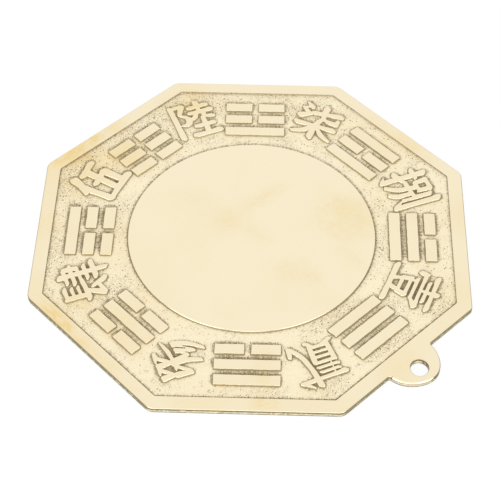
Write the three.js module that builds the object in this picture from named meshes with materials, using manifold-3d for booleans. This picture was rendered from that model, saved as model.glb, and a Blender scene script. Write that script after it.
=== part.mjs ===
// Octagonal brass bagua mirror: a cast plate with a raised rim, a sunk field and a hanging tab.
// In the field stand a round polished mirror disc, the eight trigrams and eight plain numerals.
// Millimetres. +Z points out of the mirror's face and +Y towards the hanging tab.
// The origin is the octagon's centre on the flat back face.

import * as THREE from 'three';
import { mergeVertices } from 'three/addons/utils/BufferGeometryUtils.js';
import Module from 'manifold-3d';

const wasm = await Module();
wasm.setup();

// Plate
const PLATE_THICKNESS = 1.8;
const PLATE_CORNER_RADIUS = 3.5;
const PLATE_EDGE_ROUND = 0.35;
const RIM_WIDTH = 4.3;
const FIELD_DEPTH = 0.45;
const FIELD_CORNER_RADIUS = 0.6;

// Mirror disc
const DISC_RADIUS = 34.7;
const DISC_EDGE_ROUND = 0.15;

// Trigram lines, which are whole or broken in two
const LINE_LENGTH = 17.4;
const LINE_WIDTH = 3.1;
const LINE_GAP = 1.85;
const LINE_BREAK = 1.9;
const LINE_CORNER_RADIUS = 0.35;
const LINE_EDGE_ROUND = 0.18;
const DISC_TO_LINES = 3.7;
const LINES_TO_RIM = 4.3;

// Numerals
const NUMERAL_WIDTH = 14;
const NUMERAL_HEIGHT = 15.2;
const BRUSH_WIDTH = 1.4;
const NUMERAL_TO_LINES = 0.35;
const NUMERAL_TO_DISC = 3;
const NUMERAL_TO_RIM = 0.8;

// Hanging tab, half of an oval disc on the plate's upper edge, with a round hole
const HOLE_RADIUS = 2.5;
const HOLE_RISE = 3.65;
const TAB_WALL = 2.3;
const TAB_WIDTH = 15.4;

// How far a cutting solid runs past the faces that it cuts
const CUT_OVERRUN = 1;

// Counts and shares
const SIDES = 8;
const LINE_PLACES = ['inner', 'middle', 'outer'];
const PLATE_CORNER_STEPS = 6;
const SMALL_CORNER_STEPS = 2;
const EDGE_STEPS = 3;
const SMALL_EDGE_STEPS = 1;
const DISC_SEGMENTS = 96;
const TAB_SEGMENTS = 72;
const HOLE_SEGMENTS = 36;
const STROKE_END_STEPS = 4;
const CURVE_STEPS_PER_POINT = 3;
const FILLET_LIMIT_SHARE = 0.8;

// Places worked out from the sizes above
const SECTOR = (2 * Math.PI) / SIDES;
const HALF_SECTOR = SECTOR / 2;
const FIELD_FLOOR = PLATE_THICKNESS - FIELD_DEPTH;
const LINE_PITCH = LINE_WIDTH + LINE_GAP;
const LINES_INNER = DISC_RADIUS + DISC_TO_LINES;
const LINES_OUTER = LINES_INNER + LINE_PLACES.length * LINE_PITCH - LINE_GAP;

// A numeral stands between two trigrams, so its foot lies where their line ends leave it room.
const ROOM_AT_FOOT = NUMERAL_WIDTH / 2 + NUMERAL_TO_LINES;
const SIDE_DISTANCE_AT_FOOT =
  (ROOM_AT_FOOT + (LINE_LENGTH / 2) * Math.cos(HALF_SECTOR)) / Math.sin(HALF_SECTOR);
const FOOT_BETWEEN_LINES =
  SIDE_DISTANCE_AT_FOOT * Math.cos(HALF_SECTOR) + (LINE_LENGTH / 2) * Math.sin(HALF_SECTOR);
const NUMERAL_FOOT = Math.max(FOOT_BETWEEN_LINES, DISC_RADIUS + NUMERAL_TO_DISC);
const NUMERAL_REACH =
  (NUMERAL_FOOT + NUMERAL_HEIGHT) * Math.cos(HALF_SECTOR) + (NUMERAL_WIDTH / 2) * Math.sin(HALF_SECTOR);

const FIELD_APOTHEM = Math.max(LINES_OUTER + LINES_TO_RIM, NUMERAL_REACH + NUMERAL_TO_RIM);
const PLATE_APOTHEM = FIELD_APOTHEM + RIM_WIDTH;
const TAB_REACH = HOLE_RISE + HOLE_RADIUS + TAB_WALL;

// The trigrams clockwise from the hanging tab, each from its inner to its outer line
const TRIGRAMS = [
  { name: 'heaven', whole: [true, true, true] },
  { name: 'wind', whole: [false, true, true] },
  { name: 'water', whole: [false, true, false] },
  { name: 'mountain', whole: [false, false, true] },
  { name: 'earth', whole: [false, false, false] },
  { name: 'thunder', whole: [true, false, false] },
  { name: 'fire', whole: [true, false, true] },
  { name: 'lake', whole: [true, true, false] },
];

// Each numeral is a list of brush strokes. A stroke is the points of its centre line, each as a share
// of the numeral's width and height and a share of its brush's width. Two points make a straight stroke.
const ONE_STROKE_SHARES = [
  [[0.05, 0.89, 1.15], [0.5, 0.9, 0.85], [0.96, 0.91, 1.1]],
  [[0.5, 1, 1.15], [0.5, 0.66, 0.6]],
  [[0.24, 0.77, 0.9], [0.77, 0.775, 0.95]],
  [[0.04, 0.66, 1], [0, 0.51, 0.75]],
  [[0.04, 0.645, 0.8], [0.97, 0.66, 0.9]],
  [[0.97, 0.66, 1.2], [0.79, 0.53, 0.5]],
  [[0.22, 0.51, 0.9], [0.77, 0.52, 0.85]],
  [[0.3, 0.51, 0.45], [0.28, 0.38, 0.6]],
  [[0.26, 0.39, 1], [0.3, 0.2, 0.85]],
  [[0.27, 0.39, 0.8], [0.73, 0.39, 0.85]],
  [[0.74, 0.39, 1.1], [0.7, 0.2, 0.8]],
  [[0.3, 0.22, 0.75], [0.7, 0.22, 0.75]],
  [[0.32, 0.2, 0.6], [0.38, 0.02, 0.95]],
  [[0.68, 0.2, 0.75], [0.61, 0.02, 0.7]],
  [[0, 0, 1.25], [0.5, 0.005, 0.95], [1, 0.01, 1.25]],
];
const TWO_STROKE_SHARES = [
  [[0, 0.82, 1.15], [0.5, 0.84, 0.8], [0.97, 0.87, 1.05]],
  [[0.1, 0.71, 0.8], [0.5, 0.72, 0.75]],
  [[0.08, 0.6, 0.8], [0.52, 0.61, 0.75]],
  [[0.22, 0.82, 0.4], [0.2, 0.48, 0.4]],
  [[0.12, 0.49, 0.85], [0.52, 0.49, 0.8]],
  [[0.11, 0.49, 1], [0.12, 0.1, 0.9]],
  [[0.53, 0.49, 1.1], [0.5, 0.1, 0.9]],
  [[0.12, 0.36, 0.65], [0.52, 0.36, 0.65]],
  [[0.12, 0.24, 0.65], [0.5, 0.24, 0.65]],
  [[0.12, 0.12, 0.75], [0.5, 0.12, 0.75]],
  [[0.24, 0.12, 0.9], [0, 0, 0.55]],
  [[0.4, 0.12, 0.7], [0.55, 0, 1.1]],
  [[0.62, 1, 1.2], [0.65, 0.62, 1], [0.76, 0.24, 1.05], [0.93, 0.02, 1.25]],
  [[0.93, 0.02, 1.1], [0.99, 0.22, 0.5]],
  [[0.79, 1, 0.7], [0.9, 0.9, 1.15]],
];
const THREE_STROKE_SHARES = [
  [[0.52, 1, 1.1], [0.37, 0.83, 0.8]],
  [[0.37, 0.83, 0.9], [0.7, 0.845, 0.6]],
  [[0.65, 0.93, 0.6], [0.71, 0.82, 1.2]],
  [[0.31, 0.81, 1.1], [0.06, 0.61, 0.8]],
  [[0.06, 0.61, 0.9], [0.41, 0.63, 0.6]],
  [[0.4, 0.7, 0.6], [0.44, 0.59, 1.15]],
  [[0.76, 0.79, 1.1], [0.59, 0.6, 0.8]],
  [[0.59, 0.6, 0.9], [0.93, 0.63, 0.6]],
  [[0.87, 0.72, 0.6], [0.96, 0.58, 1.15]],
  [[0.51, 0.6, 1.15], [0.32, 0.42, 0.9], [0, 0.27, 0.45]],
  [[0.51, 0.58, 0.7], [0.74, 0.4, 1.25], [1, 0.28, 0.6]],
  [[0.52, 0.55, 1.1], [0.33, 0.27, 0.5]],
  [[0.33, 0.27, 0.4], [0.61, 0.3, 0.5]],
  [[0.61, 0.3, 1.1], [0.26, 0.12, 0.5]],
  [[0.26, 0.12, 0.4], [0.74, 0.19, 0.5]],
  [[0.75, 0.19, 1.25], [0.46, 0.05, 0.95], [0.1, 0, 0.45]],
];
const FOUR_STROKE_SHARES = [
  [[0.12, 1, 1.15], [0.11, 0.56, 0.9]],
  [[0.12, 0.98, 0.8], [0.4, 0.99, 1]],
  [[0.12, 0.84, 0.7], [0.37, 0.85, 0.85]],
  [[0.12, 0.7, 0.7], [0.37, 0.71, 0.85]],
  [[0, 0.55, 1.15], [0.54, 0.585, 0.9]],
  [[0.23, 0.56, 0.8], [0.05, 0.21, 1.1]],
  [[0.05, 0.21, 1], [0.38, 0.29, 0.6]],
  [[0.3, 0.42, 0.7], [0.44, 0.13, 1.35]],
  [[0.75, 1, 1.2], [0.75, 0.3, 0.95], [0.75, 0, 0.75]],
  [[0.54, 0.87, 0.85], [0.92, 0.88, 0.85]],
  [[0.93, 0.88, 1.15], [0.91, 0.6, 0.8]],
  [[0.49, 0.73, 1], [1, 0.74, 0.95]],
  [[0.54, 0.59, 0.8], [0.91, 0.6, 0.8]],
  [[0.56, 0.44, 0.9], [0.93, 0.45, 0.95]],
  [[0.56, 0.27, 1.15], [1, 0.28, 1.15]],
];
const FIVE_STROKE_SHARES = [
  [[0.28, 1, 1.25], [0.18, 0.77, 0.95], [0, 0.55, 0.45]],
  [[0.15, 0.72, 1.05], [0.15, 0.35, 0.85], [0.15, 0, 1.05]],
  [[0.49, 0.885, 1.05], [0.7, 0.895, 0.8], [0.95, 0.91, 1.1]],
  [[0.65, 0.9, 1], [0.53, 0.03, 0.85]],
  [[0.4, 0.51, 0.85], [0.86, 0.54, 0.9]],
  [[0.86, 0.54, 1.2], [0.81, 0.03, 0.9]],
  [[0.2, 0, 0.7], [0.6, 0.01, 0.95], [1, 0.01, 1.25]],
];
const SIX_STROKE_SHARES = [
  [[0.06, 0.98, 1], [0.07, 0.4, 0.95], [0.07, 0, 1.15]],
  [[0.07, 0.96, 0.8], [0.34, 0.97, 0.9]],
  [[0.35, 0.97, 1.15], [0.21, 0.71, 0.6]],
  [[0.21, 0.71, 0.6], [0.38, 0.58, 1.1], [0.35, 0.4, 1.1], [0.19, 0.37, 0.6]],
  [[0.5, 0.85, 0.95], [0.94, 0.87, 1]],
  [[0.72, 1, 1.1], [0.72, 0.69, 0.8]],
  [[0.48, 0.69, 1], [1, 0.7, 1.1]],
  [[0.62, 0.68, 0.8], [0.55, 0.54, 0.85], [0.37, 0.48, 0.55]],
  [[0.81, 0.69, 0.8], [0.8, 0.53, 0.85], [0.98, 0.49, 1]],
  [[0.5, 0.27, 0.95], [0.94, 0.28, 0.95]],
  [[0.74, 0.5, 0.8], [0.72, 0.02, 1.05]],
  [[0.39, 0.01, 1.2], [0.7, 0.01, 0.95], [1, 0.02, 1.25]],
];
const SEVEN_STROKE_SHARES = [
  [[0.07, 1, 0.7], [0.19, 0.92, 1.2]],
  [[0.19, 0.92, 0.35], [0.02, 0.83, 0.4]],
  [[0.01, 0.83, 0.7], [0.14, 0.75, 1.15]],
  [[0.01, 0.57, 1.15], [0.32, 0.76, 0.5]],
  [[0.32, 0.75, 0.85], [0.66, 0.8, 0.8], [1, 0.85, 1.05]],
  [[0.57, 1, 1.15], [0.58, 0.72, 0.9], [0.7, 0.6, 0.95], [0.96, 0.58, 1.05]],
  [[0.96, 0.58, 1], [0.99, 0.72, 0.45]],
  [[0.01, 0.35, 1.1], [0.5, 0.365, 0.8], [0.98, 0.38, 1.1]],
  [[0.6, 0.63, 0.5], [0.51, 0.42, 1], [0.5, 0, 1.15]],
  [[0.48, 0.37, 1], [0.28, 0.15, 0.85], [0, 0.04, 0.45]],
  [[0.53, 0.37, 0.65], [0.76, 0.14, 1.3], [1, 0.04, 0.6]],
];
const EIGHT_STROKE_SHARES = [
  [[0, 0.76, 1], [0.25, 0.785, 0.95]],
  [[0.16, 1, 1.2], [0.16, 0.5, 0.9], [0.16, 0.03, 1.1]],
  [[0.16, 0.03, 1], [0.01, 0.13, 0.45]],
  [[0, 0.36, 1.1], [0.32, 0.5, 0.55]],
  [[0.39, 0.95, 0.8], [0.66, 0.95, 0.85]],
  [[0.38, 0.95, 1], [0.4, 0.68, 0.8]],
  [[0.67, 0.95, 1.1], [0.65, 0.68, 0.8]],
  [[0.4, 0.7, 0.75], [0.65, 0.7, 0.75]],
  [[0.34, 0.5, 0.9], [0.78, 0.52, 0.9]],
  [[0.68, 0.51, 1.1], [0.67, 0.2, 0.95], [0.56, 0.03, 0.6]],
  [[0.53, 0.68, 0.85], [0.48, 0.28, 0.9], [0.31, 0.03, 0.45]],
  [[0.82, 0.88, 1.05], [0.82, 0.25, 0.8]],
  [[0.99, 1, 1.2], [0.99, 0.5, 0.95], [0.99, 0.02, 1.1]],
  [[0.99, 0.02, 1.05], [0.83, 0.24, 0.45]],
];
const NUMERALS = [
  { name: 'numeral_one', brushShare: 0.93, strokeShares: ONE_STROKE_SHARES },
  { name: 'numeral_two', brushShare: 0.86, strokeShares: TWO_STROKE_SHARES },
  { name: 'numeral_three', brushShare: 0.95, strokeShares: THREE_STROKE_SHARES },
  { name: 'numeral_four', brushShare: 0.92, strokeShares: FOUR_STROKE_SHARES },
  { name: 'numeral_five', brushShare: 1.3, strokeShares: FIVE_STROKE_SHARES },
  { name: 'numeral_six', brushShare: 1, strokeShares: SIX_STROKE_SHARES },
  { name: 'numeral_seven', brushShare: 1.1, strokeShares: SEVEN_STROKE_SHARES },
  { name: 'numeral_eight', brushShare: 1, strokeShares: EIGHT_STROKE_SHARES },
];

// Materials
const RIM_BRASS = { color: 0xeddfb8, roughness: 0.35, metalness: 0.9 };
const MIRROR_BRASS = { color: 0xf2e6c6, roughness: 0.12, metalness: 1 };
const LINE_BRASS = { color: 0xf0e2bc, roughness: 0.38, metalness: 0.9 };
const NUMERAL_BRASS = { color: 0xeadcb4, roughness: 0.42, metalness: 0.9 };

// A fillet is limited by the smallest wall that it stands on.
function limitedRound(round, ...walls) {
  return Math.min(round, FILLET_LIMIT_SHARE * Math.min(...walls));
}

// A solid of the boolean library from a closed geometry
function toSolid(geometry) {
  const bare = geometry.clone();
  bare.deleteAttribute('normal');
  bare.deleteAttribute('uv');
  const merged = mergeVertices(bare);
  const mesh = new wasm.Mesh({
    numProp: 3,
    vertProperties: new Float32Array(merged.attributes.position.array),
    triVerts: new Uint32Array(merged.index.array),
  });
  return new wasm.Manifold(mesh);
}

// A geometry from a solid of the boolean library
function toGeometry(solid) {
  const mesh = solid.getMesh();
  const geometry = new THREE.BufferGeometry();
  geometry.setAttribute('position', new THREE.BufferAttribute(new Float32Array(mesh.vertProperties), 3));
  geometry.setIndex(new THREE.BufferAttribute(new Uint32Array(mesh.triVerts), 1));
  geometry.computeVertexNormals();
  return geometry;
}

// The equal sides of a regular polygon: the direction of each one's normal and its distance
function regularSides(apothem) {
  return Array.from({ length: SIDES }, (_, side) => ({ angle: side * SECTOR, distance: apothem }));
}

// The four sides of a rectangle, half its length along X and half its width along Y
function rectangleSides(halfLength, halfWidth) {
  const distances = [halfLength, halfWidth, halfLength, halfWidth];
  return distances.map((distance, side) => ({ angle: (side * Math.PI) / 2, distance }));
}

// The point at the given distances from the origin along two sides' normals
function cornerPoint(side, next, inset) {
  const turn = Math.sin(next.angle - side.angle);
  const near = side.distance - inset;
  const far = next.distance - inset;
  return new THREE.Vector2(
    (near * Math.sin(next.angle) - far * Math.sin(side.angle)) / turn,
    (far * Math.cos(side.angle) - near * Math.cos(next.angle)) / turn
  );
}

// A convex outline with round corners, drawn in by an inset and walked anticlockwise
function roundedOutline(sides, cornerRadius, cornerSteps, inset) {
  const outline = [];
  sides.forEach((side, index) => {
    const following = sides[(index + 1) % sides.length];
    const lap = index + 1 === sides.length ? 2 * Math.PI : 0;
    const next = { angle: following.angle + lap, distance: following.distance };
    const centre = cornerPoint(side, next, cornerRadius);
    for (let step = 0; step <= cornerSteps; step++) {
      const angle = side.angle + ((next.angle - side.angle) * step) / cornerSteps;
      const radius = cornerRadius - inset;
      outline.push(new THREE.Vector2(radius * Math.cos(angle), radius * Math.sin(angle)).add(centre));
    }
  });
  return outline;
}

// The levels of a straight wall that ends in a rounded upper edge: each one's inset and height
function roundedLevels(height, round, steps) {
  const levels = [{ inset: 0, z: 0 }];
  for (let step = 0; step <= steps; step++) {
    const angle = (step / steps) * (Math.PI / 2);
    levels.push({
      inset: round * (1 - Math.cos(angle)),
      z: height - round + round * Math.sin(angle),
    });
  }
  return levels;
}

// A closed geometry through a stack of convex outlines that have equally many points
function stackGeometry(levels, outlineAt) {
  const outlines = levels.map((level) => outlineAt(level.inset));
  const count = outlines[0].length;
  const positions = outlines.flatMap((outline, index) =>
    outline.flatMap((point) => [point.x, point.y, levels[index].z])
  );
  const indices = [];
  for (let level = 0; level + 1 < levels.length; level++) {
    for (let point = 0; point < count; point++) {
      const here = level * count + point;
      const beside = level * count + ((point + 1) % count);
      indices.push(here, beside, beside + count, here, beside + count, here + count);
    }
  }
  const top = (levels.length - 1) * count;
  for (let point = 1; point + 1 < count; point++) {
    indices.push(0, point + 1, point, top, top + point, top + point + 1);
  }
  const geometry = new THREE.BufferGeometry();
  geometry.setAttribute('position', new THREE.Float32BufferAttribute(positions, 3));
  geometry.setIndex(indices);
  geometry.computeVertexNormals();
  return geometry;
}

// A round disc standing on z = 0 with its upper edge rounded
function discGeometry(radius, height, round, steps, segments) {
  const profile = roundedLevels(height, round, steps).map(
    (level) => new THREE.Vector2(radius - level.inset, level.z)
  );
  profile.unshift(new THREE.Vector2(0, 0));
  profile.push(new THREE.Vector2(0, height));
  return new THREE.LatheGeometry(profile, segments).rotateX(Math.PI / 2);
}

// The octagonal body with its rounded front edge, before the field is sunk into it
function plateBlank() {
  const round = limitedRound(PLATE_EDGE_ROUND, PLATE_THICKNESS, RIM_WIDTH, PLATE_CORNER_RADIUS);
  const levels = roundedLevels(PLATE_THICKNESS, round, EDGE_STEPS);
  const sides = regularSides(PLATE_APOTHEM);
  const outlineAt = (inset) => roundedOutline(sides, PLATE_CORNER_RADIUS, PLATE_CORNER_STEPS, inset);
  return toSolid(stackGeometry(levels, outlineAt));
}

// The hanging tab, a disc drawn out to an oval, centred on the middle of the plate's upper edge
function tabBlank() {
  const round = limitedRound(PLATE_EDGE_ROUND, PLATE_THICKNESS, TAB_WALL, TAB_WIDTH / 2);
  const geometry = discGeometry(TAB_WIDTH / 2, PLATE_THICKNESS, round, EDGE_STEPS, TAB_SEGMENTS);
  geometry.scale(1, TAB_REACH / (TAB_WIDTH / 2), 1).translate(0, PLATE_APOTHEM, 0);
  return toSolid(geometry);
}

// The cutter that sinks the field into the plate's face
function fieldCutter() {
  const levels = [
    { inset: 0, z: FIELD_FLOOR },
    { inset: 0, z: PLATE_THICKNESS + CUT_OVERRUN },
  ];
  const sides = regularSides(FIELD_APOTHEM);
  const outlineAt = (inset) => roundedOutline(sides, FIELD_CORNER_RADIUS, SMALL_CORNER_STEPS, inset);
  return toSolid(stackGeometry(levels, outlineAt));
}

// The cutter of the tab's round hole
function holeCutter() {
  const length = PLATE_THICKNESS + 2 * CUT_OVERRUN;
  const geometry = new THREE.CylinderGeometry(HOLE_RADIUS, HOLE_RADIUS, length, HOLE_SEGMENTS);
  geometry.rotateX(Math.PI / 2).translate(0, PLATE_APOTHEM + HOLE_RISE, PLATE_THICKNESS / 2);
  return toSolid(geometry);
}

// The plate in one piece: rim, sunk field floor, hanging tab and its hole
function plateGeometry() {
  return toGeometry(plateBlank().add(tabBlank()).subtract(fieldCutter()).subtract(holeCutter()));
}

// A trigram line or half line, its length along X and its middle at the origin
function lineGeometry(length) {
  const corner = limitedRound(LINE_CORNER_RADIUS, LINE_WIDTH / 2, length / 2);
  const round = limitedRound(LINE_EDGE_ROUND, FIELD_DEPTH, corner);
  const levels = roundedLevels(FIELD_DEPTH, round, SMALL_EDGE_STEPS);
  const sides = rectangleSides(length / 2, LINE_WIDTH / 2);
  return stackGeometry(levels, (inset) => roundedOutline(sides, corner, SMALL_CORNER_STEPS, inset));
}

// The outline of one brush stroke: a band of changing width along its centre line, with round ends
function strokeOutline(pointShares, spanX, spanY, brush) {
  const centres = pointShares.map(([across, up]) => new THREE.Vector2((across - 0.5) * spanX, up * spanY));
  const curve = new THREE.SplineCurve(centres);
  const spans = centres.length - 1;
  const steps = spans === 1 ? 1 : spans * CURVE_STEPS_PER_POINT;
  const samples = Array.from({ length: steps + 1 }, (_, step) => {
    const along = (step / steps) * spans;
    const before = Math.min(Math.floor(along), spans - 1);
    const [, , widthBefore] = pointShares[before];
    const [, , widthAfter] = pointShares[before + 1];
    const widthShare = THREE.MathUtils.lerp(widthBefore, widthAfter, along - before);
    return {
      centre: curve.getPoint(step / steps),
      heading: curve.getTangent(step / steps).angle(),
      halfWidth: (widthShare * brush) / 2,
    };
  });
  const edgePoint = (sample, turn) => {
    const angle = sample.heading + turn;
    const offset = new THREE.Vector2(Math.cos(angle), Math.sin(angle)).multiplyScalar(sample.halfWidth);
    return offset.add(sample.centre);
  };
  const first = samples[0];
  const last = samples[steps];
  const endTurns = Array.from({ length: STROKE_END_STEPS - 1 }, (_, step) => {
    return ((step + 1) / STROKE_END_STEPS) * Math.PI - Math.PI / 2;
  });
  return [
    ...samples.map((sample) => edgePoint(sample, -Math.PI / 2)),
    ...endTurns.map((turn) => edgePoint(last, turn)),
    ...samples.toReversed().map((sample) => edgePoint(sample, Math.PI / 2)),
    ...endTurns.map((turn) => edgePoint(first, turn + Math.PI)),
  ];
}

// A numeral, its strokes joined into one relief, standing on z = 0 with its foot on the X axis
function numeralGeometry({ brushShare, strokeShares }) {
  const brush = BRUSH_WIDTH * brushShare;
  const margin = brush * Math.max(...strokeShares.flat().map(([, , widthShare]) => widthShare));
  const spanX = NUMERAL_WIDTH - margin;
  const spanY = NUMERAL_HEIGHT - margin;
  const strokes = strokeShares.map((pointShares) => {
    const shape = new THREE.Shape(strokeOutline(pointShares, spanX, spanY, brush));
    return toSolid(new THREE.ExtrudeGeometry(shape, { depth: FIELD_DEPTH, bevelEnabled: false }));
  });
  const joined = strokes.reduce((relief, stroke) => relief.add(stroke));
  return toGeometry(joined).translate(0, margin / 2, 0);
}

// A named mesh with a material of its own
function piece(name, geometry, look) {
  const mesh = new THREE.Mesh(geometry, new THREE.MeshStandardMaterial(look));
  mesh.name = name;
  return mesh;
}

// One line of a trigram as its meshes: a whole line, or a left and a right half
function linePieces(name, whole) {
  if (whole) {
    return [piece(name, lineGeometry(LINE_LENGTH), LINE_BRASS)];
  }
  const halfLength = (LINE_LENGTH - LINE_BREAK) / 2;
  const halves = { left: -1, right: 1 };
  return Object.entries(halves).map(([hand, sign]) => {
    const half = piece(`${name}_${hand}`, lineGeometry(halfLength), LINE_BRASS);
    half.position.x = (sign * (halfLength + LINE_BREAK)) / 2;
    return half;
  });
}

// The three lines of a trigram, stacked outwards along +Y
function trigramGroup(trigram) {
  const group = new THREE.Group();
  trigram.whole.forEach((whole, index) => {
    const line = new THREE.Group();
    line.position.y = LINES_INNER + LINE_WIDTH / 2 + index * LINE_PITCH;
    line.add(...linePieces(`${trigram.name}_${LINE_PLACES[index]}_line`, whole));
    group.add(line);
  });
  return group;
}

// The whole mirror
function baguaMirror() {
  const mirror = new THREE.Group();
  mirror.add(piece('plate', plateGeometry(), RIM_BRASS));

  const relief = new THREE.Group();
  relief.position.z = FIELD_FLOOR;
  mirror.add(relief);

  const discRound = limitedRound(DISC_EDGE_ROUND, FIELD_DEPTH);
  const disc = discGeometry(DISC_RADIUS, FIELD_DEPTH, discRound, SMALL_EDGE_STEPS, DISC_SEGMENTS);
  relief.add(piece('mirror_disc', disc, MIRROR_BRASS));

  TRIGRAMS.forEach((trigram, index) => {
    const group = trigramGroup(trigram);
    group.rotation.z = -index * SECTOR;
    relief.add(group);
  });

  NUMERALS.forEach((numeral, index) => {
    const turned = new THREE.Group();
    turned.rotation.z = HALF_SECTOR - index * SECTOR;
    const mesh = piece(numeral.name, numeralGeometry(numeral), NUMERAL_BRASS);
    mesh.position.y = NUMERAL_FOOT;
    turned.add(mesh);
    relief.add(turned);
  });
  return mirror;
}

export default baguaMirror();
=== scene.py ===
"""Looks of an octagonal brass bagua mirror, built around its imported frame.

Everything is in metres in the frame's own axes: +Z points out of the mirror's face, +Y towards
the hanging tab, and the origin is the octagon's centre on the flat back.
"""

from __future__ import annotations

import logging
import math
from dataclasses import dataclass, field
from enum import Enum
from typing import Union

import bpy
import numpy as np
from mathutils import Matrix, Vector
from mathutils.geometry import delaunay_2d_cdt


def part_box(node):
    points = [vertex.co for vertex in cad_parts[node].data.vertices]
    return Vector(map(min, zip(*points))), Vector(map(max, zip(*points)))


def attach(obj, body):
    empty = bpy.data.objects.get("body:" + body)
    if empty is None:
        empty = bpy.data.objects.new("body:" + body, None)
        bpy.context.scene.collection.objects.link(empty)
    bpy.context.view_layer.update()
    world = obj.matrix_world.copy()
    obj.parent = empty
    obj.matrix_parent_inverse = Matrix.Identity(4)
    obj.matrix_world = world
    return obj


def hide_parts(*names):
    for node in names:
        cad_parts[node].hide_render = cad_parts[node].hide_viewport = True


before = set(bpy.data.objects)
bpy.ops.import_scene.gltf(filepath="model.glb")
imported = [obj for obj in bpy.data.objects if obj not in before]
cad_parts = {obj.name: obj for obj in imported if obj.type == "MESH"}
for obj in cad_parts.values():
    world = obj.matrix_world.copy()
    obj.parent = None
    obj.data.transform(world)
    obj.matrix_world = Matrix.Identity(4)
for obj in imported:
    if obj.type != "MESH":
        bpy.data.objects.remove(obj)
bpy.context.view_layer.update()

log = logging.getLogger("bagua_mirror")

MM = 0.001
SIDES = 8
SECTOR = 2 * math.pi / SIDES
HALF_SECTOR = SECTOR / 2
BODY = "root"

Colour = tuple[float, float, float]
Spread = Union[float, np.ndarray]


class Slot(Enum):
    """The record's material slots."""

    PLATE = "plate_brass"
    MIRROR = "mirror_brass"
    LINE = "line_brass"
    NUMERAL = "numeral_brass"


def mm(*lengths: float) -> tuple[float, ...]:
    """Lengths in metres, from lengths in millimetres."""
    return tuple(length * MM for length in lengths)


def paint(red: int, green: int, blue: int) -> Colour:
    """Turns a colour as it is seen, in 8-bit steps, into linear light by the sRGB curve.

    Args:
        red: Red from 0 to 255.
        green: Green from 0 to 255.
        blue: Blue from 0 to 255.

    Returns:
        The three linear values.
    """
    shares = (red / 255, green / 255, blue / 255)
    return tuple(s / 12.92 if s <= 0.04045 else ((s + 0.055) / 1.055) ** 2.4 for s in shares)


# Shader expressions


class Signal:
    """A number that changes over a surface: a socket that Python's operators work on."""

    def __init__(self, graph: Graph, socket: bpy.types.NodeSocket) -> None:
        """Wraps an output socket of a graph."""
        self.graph = graph
        self.socket = socket

    def __add__(self, other: Value) -> Signal:
        """Sum."""
        return self.graph.math("ADD", self, other)

    __radd__ = __add__

    def __sub__(self, other: Value) -> Signal:
        """Difference."""
        return self.graph.math("SUBTRACT", self, other)

    def __rsub__(self, other: Value) -> Signal:
        """Difference with the number first."""
        return self.graph.math("SUBTRACT", other, self)

    def __mul__(self, other: Value) -> Signal:
        """Product."""
        return self.graph.math("MULTIPLY", self, other)

    __rmul__ = __mul__

    def __truediv__(self, other: Value) -> Signal:
        """Quotient."""
        return self.graph.math("DIVIDE", self, other)

    def __neg__(self) -> Signal:
        """The same number with its sign turned."""
        return self.graph.math("MULTIPLY", self, -1.0)

    def exp(self) -> Signal:
        """e to this power."""
        return self.graph.math("EXPONENT", self)

    def absolute(self) -> Signal:
        """Its size without its sign."""
        return self.graph.math("ABSOLUTE", self)

    def clamped(self) -> Signal:
        """Held between 0 and 1."""
        return self.graph.math("ADD", self, 0.0, clamp=True)

    def rising(self, low: float, high: float) -> Signal:
        """A smooth step.

        Args:
            low: The value that gives 0.
            high: The value that gives 1. It may be the smaller one, and then the step falls.

        Returns:
            The step.
        """
        settings = {"interpolation_type": "SMOOTHSTEP"}
        inputs = {"Value": self, "From Min": low, "From Max": high}
        node = self.graph.node("ShaderNodeMapRange", settings, inputs)
        return Signal(self.graph, node.outputs["Result"])


Value = Union[Signal, float]

# The numbers of the Mix node's sockets for colours
MIX_SHARE, MIX_FIRST, MIX_SECOND, MIX_RESULT = 0, 6, 7, 2


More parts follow.
